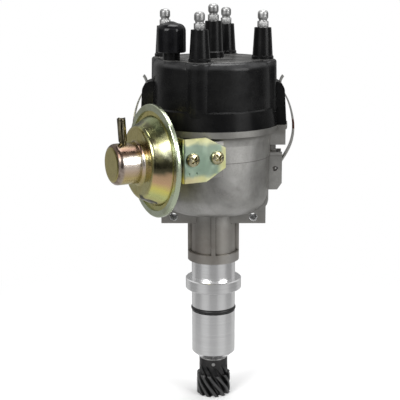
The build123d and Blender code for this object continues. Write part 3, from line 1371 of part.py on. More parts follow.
# Cap
with BuildPart() as tower:
    with BuildSketch(Plane.XZ):
        with BuildLine():
            Polyline(
                (0, SKIRT_TOP),
                (0, COLUMN_FOOT),
                (COLUMN_FOOT_R - COLUMN_ROUND, COLUMN_FOOT),
            )
            TangentArc(
                (COLUMN_FOOT_R - COLUMN_ROUND, COLUMN_FOOT),
                (COLUMN_FOOT_R, COLUMN_FOOT + COLUMN_ROUND),
                tangent=(1, 0),
            )
            Line((COLUMN_FOOT_R, COLUMN_FOOT + COLUMN_ROUND), (COLUMN_R, CAP_TOP - COLUMN_ROUND))
            TangentArc(
                (COLUMN_R, CAP_TOP - COLUMN_ROUND),
                (COLUMN_R - COLUMN_ROUND, CAP_TOP),
                tangent=(0, 1),
            )
            Polyline(
                (COLUMN_R - COLUMN_ROUND, CAP_TOP),
                (TOWER_BASE_R, CAP_TOP),
                (TOWER_BASE_R, CAP_TOP + TOWER_BASE_H - TOWER_LIP),
                (TOWER_R, CAP_TOP + TOWER_BASE_H),
                (TOWER_TIP_R, TOWER_TOP),
                (0, TOWER_TOP),
                (0, SKIRT_TOP),
            )
        make_face()
    revolve(axis=Axis.Z)

with BuildPart() as clip_lug:
    with BuildSketch(Plane.XZ):
        with BuildLine():
            Polyline(
                (CAP_INNER_R, LUG_TOP),
                (CAP_INNER_R, RIM_TOP),
                (LUG_FOOT_X, RIM_TOP),
                (LUG_X, RIM_TOP + LUG_SHOULDER_H),
            )
            TangentArc(
                (LUG_X, RIM_TOP + LUG_SHOULDER_H),
                (LUG_X - LUG_ROUND, LUG_TOP),
                tangent=(0, 1),
            )
            Line((LUG_X - LUG_ROUND, LUG_TOP), (CAP_INNER_R, LUG_TOP))
        make_face()
    extrude(amount=LUG_Y, both=True)
    with BuildSketch(Plane.XZ):
        with BuildLine():
            Polyline(
                (LUG_FOOT_X, RIM_TOP + GROOVE_H),
                (GROOVE_X, RIM_TOP + GROOVE_H + GROOVE_RAMP),
                (GROOVE_X, LUG_TOP + FREE),
                (LUG_FOOT_X, LUG_TOP + FREE),
                close=True,
            )
        make_face()
    extrude(amount=SLOT_Y, both=True, mode=Mode.SUBTRACT)

with BuildPart() as cap:
    with BuildSketch(Plane.XZ):
        with BuildLine():
            Polyline(
                (0, RIM_TOP),
                (SKIRT_R, RIM_TOP),
                (SKIRT_TOP_R, SKIRT_TOP),
                (BODY_R, SKIRT_TOP + SHOULDER_H),
                (BODY_TOP_R, CAP_TOP - CAP_ROUND),
            )
            TangentArc(
                (BODY_TOP_R, CAP_TOP - CAP_ROUND),
                (BODY_TOP_R - CAP_ROUND, CAP_TOP),
                tangent=(0, 1),
            )
            Polyline(
                (BODY_TOP_R - CAP_ROUND, CAP_TOP),
                (CENTRE_BASE_R, CAP_TOP),
                (CENTRE_BASE_R, CAP_TOP + CENTRE_BASE_H - TOWER_LIP),
                (CENTRE_R, CAP_TOP + CENTRE_BASE_H),
                (TOWER_TIP_R, CENTRE_TOP),
                (0, CENTRE_TOP),
                (0, RIM_TOP),
            )
        make_face()
    revolve(axis=Axis.Z)
    with PolarLocations(TOWER_PITCH_R, CYLINDERS, start_angle=TOWER_TURN):
        add(tower.part)
    add(clip_lug.part)
    add(clip_lug.part.mirror(Plane.YZ))
    with BuildSketch(Plane.XY.offset(CEILING)):
        with Locations(polar(TOWER_PITCH_R, VENT_TURN)):
            Circle(STUB_R)
    extrude(amount=STUB_TOP - CEILING)
    # spigot that drops into the housing's recess
    with BuildSketch(Plane.XY.offset(RIM_TOP)):
        Circle(REGISTER_R - SEATED)
    extrude(amount=SEATED - REGISTER_H)
    # inside
    with BuildSketch(Plane.XZ):
        with BuildLine():
            Polyline(
                (0, CEILING),
                (0, RIM_TOP - REGISTER_H),
                (CAP_INNER_R, RIM_TOP - REGISTER_H),
                (CAP_INNER_R, CEILING - CAP_INNER_ROUND),
            )
            TangentArc(
                (CAP_INNER_R, CEILING - CAP_INNER_ROUND),
                (CAP_INNER_R - CAP_INNER_ROUND, CEILING),
                tangent=(0, 1),
            )
            Line((CAP_INNER_R - CAP_INNER_ROUND, CEILING), (0, CEILING))
        make_face()
    revolve(axis=Axis.Z, mode=Mode.SUBTRACT)
    with BuildSketch(Plane.XY.offset(CEILING)):
        with PolarLocations(TOWER_PITCH_R, CYLINDERS, start_angle=TOWER_TURN):
            Circle(BOSS_R)
    extrude(amount=-BOSS_L)
    with BuildSketch(Plane.XY.offset(CEILING)):
        Circle(BOSS_R)
    extrude(amount=-CENTRE_BOSS_L)
    # bores for the inserts, the brush and the vent
    with BuildSketch(Plane.XY.offset(BOSS_BOTTOM)):
        with PolarLocations(TOWER_PITCH_R, CYLINDERS, start_angle=TOWER_TURN):
            Circle(INSERT_R)
    extrude(amount=TOWER_TOP - BOSS_BOTTOM, mode=Mode.SUBTRACT)
    with BuildSketch(Plane.XY.offset(CENTRE_BOSS_BOTTOM)):
        Circle(BRUSH_R + RUNNING)
    extrude(amount=CENTRE_INSERT_BOTTOM - CENTRE_BOSS_BOTTOM, mode=Mode.SUBTRACT)
    with BuildSketch(Plane.XY.offset(CENTRE_INSERT_BOTTOM)):
        Circle(INSERT_R)
    extrude(amount=CENTRE_TOP - CENTRE_INSERT_BOTTOM, mode=Mode.SUBTRACT)
    with BuildSketch(Plane.XY.offset(CEILING)):
        with Locations(polar(TOWER_PITCH_R, VENT_TURN)):
            Circle(VENT_BORE_R)
    extrude(amount=STUB_TOP - CEILING, mode=Mode.SUBTRACT)
cap.part.label = "cap"
export_step(cap.part, "parts/cap.step")

with BuildPart() as vent_hood:
    with BuildSketch(Plane.XZ):
        hood_z = CAP_TOP + VENT_RISE
        shoulder_z = hood_z + VENT_H - VENT_CROWN - VENT_SHOULDER
        with BuildLine():
            Polyline(
                (0, STUB_TOP + VENT_ROOM_H),
                (VENT_ROOM_R - EDGE, STUB_TOP + VENT_ROOM_H),
                (VENT_ROOM_R, STUB_TOP + VENT_ROOM_H - EDGE),
                (VENT_ROOM_R, STUB_TOP),
                (STUB_R, STUB_TOP),
                (STUB_R, hood_z),
                (VENT_R - EDGE, hood_z),
                (VENT_R, hood_z + EDGE),
                (VENT_R, shoulder_z),
            )
            TangentArc(
                (VENT_R, shoulder_z),
                (VENT_R - VENT_SHOULDER, shoulder_z + VENT_SHOULDER),
                tangent=(0, 1),
            )
            crown = Spline(
                (VENT_R - VENT_SHOULDER, shoulder_z + VENT_SHOULDER),
                (0, hood_z + VENT_H),
                tangents=((-1, 0.35), (-1, 0)),
            )
            Line(crown @ 1, (0, STUB_TOP + VENT_ROOM_H))
        make_face()
    revolve(axis=Axis.Z)
placed = vent_hood.part.translate(polar(TOWER_PITCH_R, VENT_TURN))
placed.label = "vent_hood"
export_step(placed, "parts/vent_hood.step")


def terminal_profile(bottom, top):
    """Half outline of a terminal: the insert in the cap, and the stud above the tower's top."""
    base = top + STUD_BASE_H
    neck = base + STUD_NECK_H
    crown = top + STUD_H
    with BuildLine() as outline:
        Polyline(
            (0, crown),
            (0, bottom),
            (INSERT_R, bottom),
            (INSERT_R, top),
            (STUD_FOOT_R, top),
            (STUD_FOOT_R, top + EDGE),
            (STUD_BASE_R, top + EDGE),
            (STUD_BASE_R, base),
            (STUD_NECK_R, base),
            (STUD_NECK_R, neck),
        )
        Spline(
            (STUD_NECK_R, neck),
            (STUD_R, crown - STUD_HEAD_H),
            tangents=((0, 1), (0, 1)),
        )
        Line((STUD_R, crown - STUD_HEAD_H), (STUD_R, crown - STUD_CROWN))
        TangentArc(
            (STUD_R, crown - STUD_CROWN),
            (STUD_R - STUD_CROWN, crown),
            tangent=(0, 1),
        )
        Line((STUD_R - STUD_CROWN, crown), (0, crown))
    return outline.line


for number in range(1, CYLINDERS + 1):
    with BuildPart() as terminal:
        with BuildSketch(Plane.XZ):
            add(terminal_profile(INSERT_BOTTOM, TOWER_TOP))
            make_face()
        revolve(axis=Axis.Z)
    placed = terminal.part.translate(polar(TOWER_PITCH_R, TOWER_TURN + (number - 1) * 360 / CYLINDERS))
    placed.label = f"terminal_{number}"
    export_step(placed, f"parts/terminal_{number}.step")

with BuildPart() as coil_terminal:
    with BuildSketch(Plane.XZ):
        add(terminal_profile(CENTRE_INSERT_BOTTOM, CENTRE_TOP))
        make_face()
    revolve(axis=Axis.Z)
coil_terminal.part.label = "coil_terminal"
export_step(coil_terminal.part, "parts/coil_terminal.step")

with BuildPart() as carbon_brush:
    with BuildSketch(Plane.XZ):
        with BuildLine():
            Polyline(
                (0, BLADE_TOP),
                (BRUSH_R - BRUSH_TIP, BLADE_TOP),
                (BRUSH_R, BLADE_TOP + BRUSH_TIP),
                (BRUSH_R, BRUSH_TOP),
                (0, BRUSH_TOP),
                close=True,
            )
        make_face()
    revolve(axis=Axis.Z)
carbon_brush.part.label = "carbon_brush"
export_step(carbon_brush.part, "parts/carbon_brush.step")

with BuildPart() as brush_spring:
    path = spring_path(
        Vector(0, 0, BRUSH_TOP + BRUSH_WIRE_R),
        Vector(0, 0, CENTRE_INSERT_BOTTOM - BRUSH_WIRE_R),
        BRUSH_R - BRUSH_WIRE_R - SEATED,
        BRUSH_TURNS,
    )
    with BuildSketch(Plane(path @ 0, z_dir=path % 0)):
        Circle(BRUSH_WIRE_R)
    sweep(path=path)
brush_spring.part.label = "brush_spring"
export_step(brush_spring.part, "parts/brush_spring.step")

# Spring clips: bowed strip with an eye at the foot and a turned-out tip
with BuildPart() as clip:
    with BuildSketch(Plane.XZ):
        with BuildLine():
            Spline([(CLIP_PIN_X + x, CLIP_PIN_Z + z) for x, z in CLIP_LINE])
        trace(line_width=CLIP_T)
        with Locations((CLIP_PIN_X, CLIP_PIN_Z)):
            Circle(CLIP_EYE_R)
            Circle(CLIP_PIN_R + RUNNING, mode=Mode.SUBTRACT)
    extrude(amount=CLIP_W / 2, both=True)

with BuildPart() as clip_pin:
    with BuildSketch(Plane.XZ):
        with Locations((CLIP_PIN_X, CLIP_PIN_Z)):
            Circle(CLIP_PIN_R)
    extrude(amount=CLEVIS_Y - CLIP_PIN_INSET, both=True)

for name, piece in (("clip", clip.part), ("clip_pin", clip_pin.part)):
    right = piece
    right.label = f"{name}_right"
    export_step(right, f"parts/{name}_right.step")
    left = piece.mirror(Plane.YZ)
    left.label = f"{name}_left"
    export_step(left, f"parts/{name}_left.step")
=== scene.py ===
"""Ignition distributor: finishes, small turned and recessed parts, light and camera."""
import json
import math

import bmesh
import bpy
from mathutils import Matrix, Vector


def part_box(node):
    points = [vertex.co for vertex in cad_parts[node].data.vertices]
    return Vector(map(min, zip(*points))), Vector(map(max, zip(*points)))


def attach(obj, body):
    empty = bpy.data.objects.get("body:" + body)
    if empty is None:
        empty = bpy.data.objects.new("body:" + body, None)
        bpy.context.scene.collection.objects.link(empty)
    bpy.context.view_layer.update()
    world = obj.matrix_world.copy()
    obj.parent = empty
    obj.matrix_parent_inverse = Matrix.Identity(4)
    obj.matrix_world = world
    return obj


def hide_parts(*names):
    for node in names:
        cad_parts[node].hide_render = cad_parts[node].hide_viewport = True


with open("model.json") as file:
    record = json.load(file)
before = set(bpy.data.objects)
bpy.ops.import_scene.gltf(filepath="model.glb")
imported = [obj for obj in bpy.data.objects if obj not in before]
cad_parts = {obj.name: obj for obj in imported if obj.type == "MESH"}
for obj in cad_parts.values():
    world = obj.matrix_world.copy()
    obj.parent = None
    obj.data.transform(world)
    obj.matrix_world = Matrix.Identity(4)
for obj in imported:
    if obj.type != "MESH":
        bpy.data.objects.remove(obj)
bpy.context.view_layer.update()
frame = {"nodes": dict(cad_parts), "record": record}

MM = 0.001
HAIR = 0.02 * MM                 # keeps the edge of a mask off the face that it follows

# ---------------------------------------------------------------- places on the model
NODES = frame["nodes"]
FLOOR_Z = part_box("drive_gear")[0].z
NECK_FOOT_Z = 18.8 * MM          # below this the housing is turned, above it is as cast
JOINT_Z = 84.8 * MM              # parting line of the casting
RIM_FOOT_Z = 97.0 * MM           # where the bowl's rim starts
SKIRT_TOP_Z = 114.5 * MM
CAP_TOP_Z = 143.2 * MM
UP = Vector((0, 0, 1))
CAN_TURN = math.radians(28.35)   # of the vacuum unit's axis, from -X towards -Y
CAN_DIR = Vector((-math.cos(CAN_TURN), -math.sin(CAN_TURN), 0))
CAN_SIDE = Vector((math.sin(CAN_TURN), -math.cos(CAN_TURN), 0))
CAN_ASIDE = 20.5                 # of that axis from the shaft's, in mm
CAN_Z = 88.25                    # height of that axis, in mm
CAN_FOOT = CAN_SIDE * CAN_ASIDE * MM + UP * CAN_Z * MM
CAN_RIM_S = 51.05 * MM           # front of the rim, along the axis
CAN_NOSE_S = 76.2 * MM           # face of the nose, along the axis
PLATE_FACE = 35.9 * MM           # outer face of the bracket's plate, from the shaft's axis
PLATE_END = 38.4                 # front end of the plate along the axis, in mm
EAR_HOLE_X = 24.3 * MM
EAR_HOLE_Z = 47.2 * MM
EAR_HOLE_R = 2.5 * MM
REST_X = 43.4 * MM               # outer face of the tab beside the cap's seat
REST_Y = -5.8 * MM
CLEVIS_Y = 7.2 * MM
CLIP_PIN_X = 37.4 * MM
CLIP_PIN_Z = 77.0 * MM

# ---------------------------------------------------------------- light and camera
FLOOR_HALF = 12.0
FLOOR_WHITE = (0.10, 0.30)       # the floor fades to plain white between these distances
FLOOR_CLEAR = (0.03, 0.10)       # and lets reflections through between these
AMBIENT = 0.45
PANEL_LOW, PANEL_HIGH = 0.13, 0.60
BANDS = (                        # from height, to height, brightness seen in the metal
    (0.30, 0.46, 0.95),
    (0.74, 0.88, 0.22),
    (-0.24, -0.38, 0.74),
)
LAMP_AIM = (0, 0, 0.05)
LAMPS = (                        # name, place, size, watts
    ("key", (-0.42, -0.55, 0.50), 0.42, 5.0),
    ("fill", (0.55, -0.40, 0.35), 0.36, 3.0),
    ("top", (0.05, 0.12, 0.75), 0.40, 4.0),
)
CAMERA_PLACE = (0, -0.63421, 0.20101)
CAMERA_TILT = 12.898             # degrees below level
CAMERA_LENS = 94.94
CAMERA_SENSOR = 36
CAMERA_SHIFT = -0.0335


# ---------------------------------------------------------------- node helpers
class Surface:
    """One material and the few node operations that the finishes are made of."""

    def __init__(self, name):
        self.material = bpy.data.materials.new(name)
        self.material.use_nodes = True
        self.tree = self.material.node_tree
        self.tree.nodes.clear()
        self.output = self.add("ShaderNodeOutputMaterial")
        self.shader = self.add("ShaderNodeBsdfPrincipled")
        self.tree.links.new(self.shader.outputs["BSDF"], self.output.inputs["Surface"])
        self.place = self.add("ShaderNodeTexCoord").outputs["Object"]

    def add(self, kind, **settings):
        node = self.tree.nodes.new(kind)
        for key, value in settings.items():
            setattr(node, key, value)
        return node

    def wire(self, source, target):
        if isinstance(source, bpy.types.NodeSocket):
            self.tree.links.new(source, target)
        else:
            target.default_value = source

    def set(self, **values):
        for key, value in values.items():
            self.wire(value, self.shader.inputs[key.replace("_", " ")])

    def math(self, operation, a, b=0.0, c=0.0):
        node = self.add("ShaderNodeMath", operation=operation)
        for socket, value in zip(node.inputs, (a, b, c)):
            self.wire(value, socket)
        return node.outputs[0]

    def product(self, first, *others):
        for other in others:
            first = self.math("MULTIPLY", first, other)
        return first

    def below(self, value, limit):
        return self.math("LESS_THAN", value, limit)

    def above(self, value, limit):
        return self.math("GREATER_THAN", value, limit)

    def squares(self, a, b):
        return self.math("ADD", self.product(a, a), self.product(b, b))

    def vector(self, operation, a, b=(0, 0, 0)):
        node = self.add("ShaderNodeVectorMath", operation=operation)
        self.wire(a, node.inputs[0])
        self.wire(b, node.inputs[1])
        return node.outputs["Value"] if operation in ("DOT_PRODUCT", "LENGTH") else node.outputs[0]

    def towards(self, direction, start=None):
        """Distance along a direction, from the model's origin or from a start."""
        place = self.place
        if start is not None:
            place = self.vector("SUBTRACT", place, tuple(start))
        return self.vector("DOT_PRODUCT", place, tuple(direction))

    def axis(self, name):
        node = self.add("ShaderNodeSeparateXYZ")
        self.wire(self.place, node.inputs[0])
        return node.outputs[name]

    def stretch(self, scale, turn=(0, 0, 0)):
        node = self.add("ShaderNodeMapping")
        self.wire(self.place, node.inputs["Vector"])
        node.inputs["Scale"].default_value = scale
        node.inputs["Rotation"].default_value = turn
        return node.outputs[0]

    def noise(self, scale, detail=3.0, roughness=0.55, at=None, distortion=0.0):
        node = self.add("ShaderNodeTexNoise")
        self.wire(at or self.place, node.inputs["Vector"])
        node.inputs["Scale"].default_value = scale
        node.inputs["Detail"].default_value = detail
        node.inputs["Roughness"].default_value = roughness
        node.inputs["Distortion"].default_value = distortion
        return node.outputs["Fac"]

    def voronoi(self, scale):
        node = self.add("ShaderNodeTexVoronoi")
        self.wire(self.place, node.inputs["Vector"])
        node.inputs["Scale"].default_value = scale
        return node.outputs["Distance"]

    def span(self, value, low, high, to_low=0.0, to_high=1.0):
        node = self.add("ShaderNodeMapRange", interpolation_type="SMOOTHSTEP")
        for socket, item in zip(node.inputs, (value, low, high, to_low, to_high)):
            self.wire(item, socket)
        return node.outputs[0]

    def wander(self, scale, detail, low, high):
        """A number that drifts between two values over the surface."""
        return self.span(self.noise(scale, detail), 0.3, 0.7, low, high)

    def mix(self, amount, a, b):
        node = self.add("ShaderNodeMix", data_type="RGBA")
        self.wire(amount, node.inputs[0])
        for socket, value in ((node.inputs[6], a), (node.inputs[7], b)):
            self.wire(value if isinstance(value, bpy.types.NodeSocket) else (*value, 1), socket)
        return node.outputs[2]

    def mottle(self, pattern, a, b, low=0.35, high=0.65):
        """Colour a where the pattern is low, colour b where it is high."""
        return self.mix(self.span(pattern, low, high), a, b)

    def ramp(self, value, *stops):
        node = self.add("ShaderNodeValToRGB")
        elements = node.color_ramp.elements
        while len(elements) < len(stops):
            elements.new(0.5)
        for element, (position, colour) in zip(elements, stops):
            element.position = position
            element.color = (*colour, 1)
        self.wire(value, node.inputs[0])
        return node.outputs[0]

    def cavity(self, reach, open_at, shut_at, amount):
        """How shut in a point is, from 0 in the open to the given amount in a corner."""
        node = self.add("ShaderNodeAmbientOcclusion", samples=8)
        node.inputs["Distance"].default_value = reach
        return self.span(node.outputs["AO"], open_at, shut_at, 0.0, amount)

    def bump(self, height, depth, strength=1.0, under=None):
        node = self.add("ShaderNodeBump")
        self.wire(height, node.inputs["Height"])
        node.inputs["Distance"].default_value = depth
        node.inputs["Strength"].default_value = strength
        if under is not None:
            self.wire(under, node.inputs["Normal"])
        return node.outputs[0]

    def normal(self, value):
        self.wire(value, self.shader.inputs["Normal"])


def metal(name, light, dark, roughness):
    """Plain metal with mottled tone and a fine grain."""
    s = Surface(name)
    s.set(Base_Color=s.mottle(s.noise(140.0, 4.0), dark, light), Metallic=1.0)
    s.set(Roughness=s.wander(420.0, 3.0, roughness * 0.85, roughness * 1.2))
    s.normal(s.bump(s.noise(3600.0, 3.0), 0.004 * MM))
    return s.material


def moulding(name, colour, roughness, gloss=0.35, grain_depth=0.006 * MM):
    """Dark moulding or rubber: faint cloudiness and fine grain."""
    s = Surface(name)
    cloudy = tuple(c * 1.7 + 0.002 for c in colour)
    s.set(Base_Color=s.mottle(s.noise(60.0, 5.0), colour, cloudy, 0.45, 0.75))
    s.set(Roughness=s.wander(90.0, 4.0, roughness * 0.85, roughness * 1.2))
    s.set(Specular_IOR_Level=gloss)
    s.normal(s.bump(s.noise(2500.0, 2.0), grain_depth))
    return s.material


# ---------------------------------------------------------------- finishes
def cast_aluminium():
    """Satin casting with painted shade in its corners, on the rim under the cap and on the pad behind
    the bracket's plate, and a painted lighter right half on the neck; turned and brighter on the shank
    and in the ear holes.
    """
    s = Surface("cast_aluminium")
    z = s.axis("Z")
    shank = s.below(z, NECK_FOOT_Z - HAIR)
    across = s.math("SUBTRACT", s.math("ABSOLUTE", s.axis("X")), EAR_HOLE_X)
    down = s.math("SUBTRACT", z, EAR_HOLE_Z)
    hole = s.below(s.math("SQRT", s.squares(across, down)), EAR_HOLE_R + HAIR)
    turned = s.math("MAXIMUM", shank, hole)

    cloud = s.noise(38.0, 6.0, 0.62)
    cast = s.mottle(cloud, (0.25, 0.246, 0.234), (0.46, 0.455, 0.437), 0.32, 0.68)
    grain = s.span(s.noise(1100.0, 3.0, 0.6), 0.40, 0.62, 0.0, 0.45)
    cast = s.mix(grain, cast, (0.34, 0.33, 0.31))
    brown = s.mottle(s.noise(70.0, 4.0), (0.36, 0.335, 0.30), (0.28, 0.245, 0.215), 0.35, 0.7)
    # Painted light: the neck's right half is made lighter, as if lit from the right.
    brown = s.mix(s.span(s.axis("X"), 2 * MM, 6 * MM, 0.0, 0.5), brown, (0.52, 0.50, 0.465))
    on_neck = s.span(z, 56 * MM, 34 * MM)
    cast = s.mix(s.product(on_neck, 0.6), cast, brown)
    slanting = s.stretch((1.0, 1.0, 0.45), (0.5, 0.6, 0.0))
    streaks = s.noise(24.0, 5.0, 0.6, at=slanting, distortion=1.2)
    cast = s.mix(s.span(streaks, 0.50, 0.66, 0.0, 0.35), cast, (0.62, 0.61, 0.60))
    # Painted shade: the bowl's rim is darker beneath the cap's skirt.
    on_rim = s.span(z, RIM_FOOT_Z, RIM_FOOT_Z + 2.5 * MM)
    cast = s.mix(s.product(on_rim, 0.45), cast, (0.17, 0.165, 0.15))
    # Painted shade: the pad behind the bracket's plate and under the rim is darkened.
    beside_plate = s.above(s.towards(CAN_SIDE), PLATE_FACE - 1.45 * MM)
    under_rim = s.below(z, RIM_FOOT_Z - 1 * MM)
    pad = s.product(beside_plate, under_rim, s.above(s.towards(CAN_DIR), 8 * MM))
    cast = s.mix(s.product(pad, 0.55), cast, (0.12, 0.118, 0.11))
    from_joint = s.math("ABSOLUTE", s.math("SUBTRACT", z, JOINT_Z))
    joint = s.span(from_joint, 0.34 * MM, 0.12 * MM, 0.0, 0.6)
    cast = s.mix(joint, cast, (0.12, 0.115, 0.105))
    # Painted shade: darker where the casting is shut in, in corners and recesses, with much less of it
    # on the rim.
    less_shade_on_rim = s.span(z, RIM_FOOT_Z + 0.5 * MM, RIM_FOOT_Z - 3 * MM, 0.15, 1.0)
    painted_shade = s.product(s.cavity(1.6 * MM, 0.86, 0.45, 0.8), less_shade_on_rim)
    cast = s.mix(painted_shade, cast, (0.085, 0.078, 0.068))

    rings = s.noise(700.0, 2.0, 0.5, at=s.stretch((0.01, 0.01, 3.0)))
    bright = s.mottle(rings, (0.86, 0.86, 0.865), (0.96, 0.96, 0.965), 0.3, 0.7)
    bright = s.mix(s.span(cloud, 0.35, 0.65, 0.0, 0.2), bright, (0.70, 0.69, 0.68))
    nicks = s.span(s.voronoi(120.0), 0.0, 0.045, 0.7, 0.0)
    bright = s.mix(nicks, bright, (0.22, 0.22, 0.22))

    s.set(Base_Color=s.mix(turned, cast, bright), Metallic=1.0)
    s.set(Roughness=s.math("MULTIPLY_ADD", turned, -0.22, 0.48))
    casting = s.bump(s.noise(1500.0, 3.0, 0.6), 0.03 * MM, 0.9)
    casting = s.bump(s.noise(260.0, 3.0, 0.6), 0.06 * MM, 0.7, under=casting)
    turning = s.bump(rings, 0.008 * MM, 0.7)
    either = s.add("ShaderNodeMix", data_type="VECTOR")
    s.wire(turned, either.inputs[0])
    s.wire(casting, either.inputs[4])
    s.wire(turning, either.inputs[5])
    s.normal(either.outputs[1])
    return s.material


def can_zinc(name):
    """Yellow chromate on zinc: its colour zones follow the pressing; bands of painted highlight and
    painted dark reflection follow how far the surface faces up or down, blurred by clouds; the rim is
    painted paler towards its right; two near-black spots low on the cone.
    """
    s = Surface(name)
    along = s.towards(CAN_DIR, CAN_FOOT)
    right = s.towards(CAN_SIDE, CAN_FOOT)
    up = s.towards(UP, CAN_FOOT)
    radius = s.math("SQRT", s.squares(right, up))
    lift = s.math("DIVIDE", up, s.math("MAXIMUM", radius, 1 * MM))
    level = s.math("MULTIPLY_ADD", lift, 0.5, 0.5)
    cloud = s.noise(42.0, 4.0, 0.55, distortion=0.8)
    wobble = s.math("MULTIPLY_ADD", cloud, 0.7, -0.35)
    olive = (0.40, 0.345, 0.125)

    # Partly the chromate's tint and partly painted light: the near-white stops at 0.68 and 0.76 are a
    # painted highlight, and the near-black stops at 0.455, 0.53 and 0.90 a painted dark reflection.
    cone = s.ramp(
        s.math("ADD", level, s.product(wobble, 0.30)),
        (0.05, (0.46, 0.40, 0.15)),
        (0.13, (0.66, 0.70, 0.28)),
        (0.22, (0.86, 0.77, 0.21)),
        (0.32, (0.72, 0.47, 0.27)),
        (0.40, (0.60, 0.40, 0.24)),
        (0.455, (0.15, 0.135, 0.08)),
        (0.53, (0.095, 0.09, 0.05)),
        (0.60, (0.26, 0.25, 0.14)),
        (0.68, (0.95, 0.96, 0.66)),
        (0.76, (0.93, 0.95, 0.64)),
        (0.83, (0.32, 0.31, 0.16)),
        (0.90, (0.12, 0.14, 0.07)),
        (1.0, (0.30, 0.34, 0.17)),
    )
    # Painted dark reflection: the cone's inner edge is darkened across the band where the painted
    # highlight lies.
    dusk = s.mottle(s.noise(170.0, 4.0), (0.10, 0.085, 0.05), (0.34, 0.34, 0.15), 0.4, 0.6)
    inner = s.product(s.span(radius, 24.1 * MM, 22.6 * MM), s.span(lift, 0.12, 0.32))
    cone = s.mix(s.product(inner, 0.75), cone, dusk)

    # Partly the chromate's tint and partly painted light: the near-white stops at 0.62 and 0.70 are a
    # painted highlight, and the dark stops from 0.77 to 0.95 a painted dark reflection on the top of the
    # nose.
    nose = s.ramp(
        s.math("ADD", level, s.product(wobble, 0.22)),
        (0.05, (0.44, 0.37, 0.16)),
        (0.24, (0.56, 0.44, 0.20)),
        (0.38, (0.64, 0.49, 0.36)),
        (0.52, (0.80, 0.70, 0.62)),
        (0.62, (0.96, 0.93, 0.86)),
        (0.70, (0.92, 0.88, 0.80)),
        (0.77, (0.26, 0.17, 0.12)),
        (0.88, (0.09, 0.055, 0.042)),
        (0.95, (0.13, 0.09, 0.055)),
        (1.0, (0.30, 0.25, 0.12)),
    )
    # Mottled tone on the nose's rounded edge, darker towards its top as painted dark reflection.
    edge_tone = s.noise(150.0, 3.0, 0.6)
    edge_tone = s.mottle(edge_tone, (0.16, 0.11, 0.085), (0.46, 0.385, 0.34), 0.38, 0.62)
    edge_tone = s.mix(s.span(lift, 0.2, 0.6, 0.0, 0.85), edge_tone, (0.10, 0.065, 0.05))
    edge = s.span(along, CAN_NOSE_S - 4.2 * MM, CAN_NOSE_S - 2.2 * MM)
    edge = s.product(edge, s.span(radius, 8.6 * MM, 9.8 * MM))
    nose = s.mix(s.product(edge, 0.9), nose, edge_tone)
    face = s.span(along, CAN_NOSE_S - 0.5 * MM, CAN_NOSE_S - 0.2 * MM)
    nose = s.mix(face, nose, olive)

    disc = s.mottle(cloud, olive, (0.46, 0.44, 0.22))
    recess = s.mottle(cloud, (0.46, 0.40, 0.13), (0.38, 0.38, 0.15))
    pale = s.mottle(cloud, (0.31, 0.33, 0.21), (0.44, 0.48, 0.36))
    # Painted light: the rim is paler towards its right side.
    pale = s.mix(s.span(right, 14 * MM, 26 * MM, 0.0, 0.8), pale, (0.60, 0.68, 0.50))
    on_disc = s.span(along, CAN_RIM_S + 8.4 * MM, CAN_RIM_S + 9.1 * MM)
    colour = s.mix(on_disc, cone, disc)
    colour = s.mix(s.span(radius, 25.6 * MM, 26.3 * MM), colour, recess)
    colour = s.mix(s.span(radius, 28.4 * MM, 28.9 * MM), colour, pale)
    colour = s.mix(s.span(radius, 13.2 * MM, 12.2 * MM), colour, nose)
    stain = s.span(s.noise(95.0, 5.0, 0.65), 0.58, 0.72, 0.0, 0.5)
    colour = s.mix(stain, colour, (0.20, 0.14, 0.09))
    # Two near-black spots low on the cone.
    for spot_right, spot_up, size in ((5.6, -20.6, 3.4), (9.2, -21.4, 1.7)):
        aside = s.math("POWER", s.math("SUBTRACT", right, spot_right * MM), 2.0)
        below = s.math("POWER", s.math("SUBTRACT", up, spot_up * MM), 2.0)
        off = s.math("SQRT", s.math("ADD", aside, s.product(below, 0.8)))
        off = s.product(off, s.math("MULTIPLY_ADD", s.noise(420.0, 3.0), 1.2, 0.4))
        dark_spot = s.span(off, size * MM, 0.6 * size * MM, 0.0, 0.92)
        colour = s.mix(dark_spot, colour, (0.012, 0.01, 0.006))

    s.set(Base_Color=colour, Metallic=1.0)
    s.set(Roughness=s.wander(260.0, 4.0, 0.17, 0.31))
    orange_peel = s.bump(s.noise(700.0, 3.0), 0.012 * MM, 0.8)
    s.normal(s.bump(s.noise(2600.0, 2.0), 0.004 * MM, 0.8, under=orange_peel))
    return s.material


def bracket_zinc():
    """Blue-green chromate in the middle, yellow towards the cut edges, a pink flush low down."""
    s = Surface("bracket_zinc")
    along = s.towards(CAN_DIR, CAN_FOOT)
    up = s.towards(UP, CAN_FOOT)
    cloud = s.noise(90.0, 4.0, 0.55, distortion=0.5)
    wobble = s.math("MULTIPLY_ADD", cloud, 9 * MM, -4.5 * MM)
    height = s.math("ADD", up, wobble)
    far = s.span(s.math("ADD", along, wobble), 17 * MM, 12.5 * MM)
    low = s.span(height, -7 * MM, -10.5 * MM)
    high = s.span(height, 9.5 * MM, 12.5 * MM)
    edge = s.math("MAXIMUM", far, s.math("MAXIMUM", low, high))
    blue = s.mottle(cloud, (0.33, 0.45, 0.345), (0.41, 0.52, 0.41))
    gold = s.mottle(cloud, (0.88, 0.86, 0.40), (0.95, 0.93, 0.54))
    colour = s.mix(s.product(edge, 0.9), blue, gold)
    pink = s.product(low, s.span(along, 24 * MM, 34 * MM), 0.35)
    colour = s.mix(pink, colour, (0.62, 0.42, 0.32))
    s.set(Base_Color=colour, Metallic=1.0)
    s.set(Roughness=s.wander(300.0, 3.0, 0.30, 0.42))
    s.normal(s.bump(s.noise(1500.0, 2.0), 0.008 * MM))
    return s.material


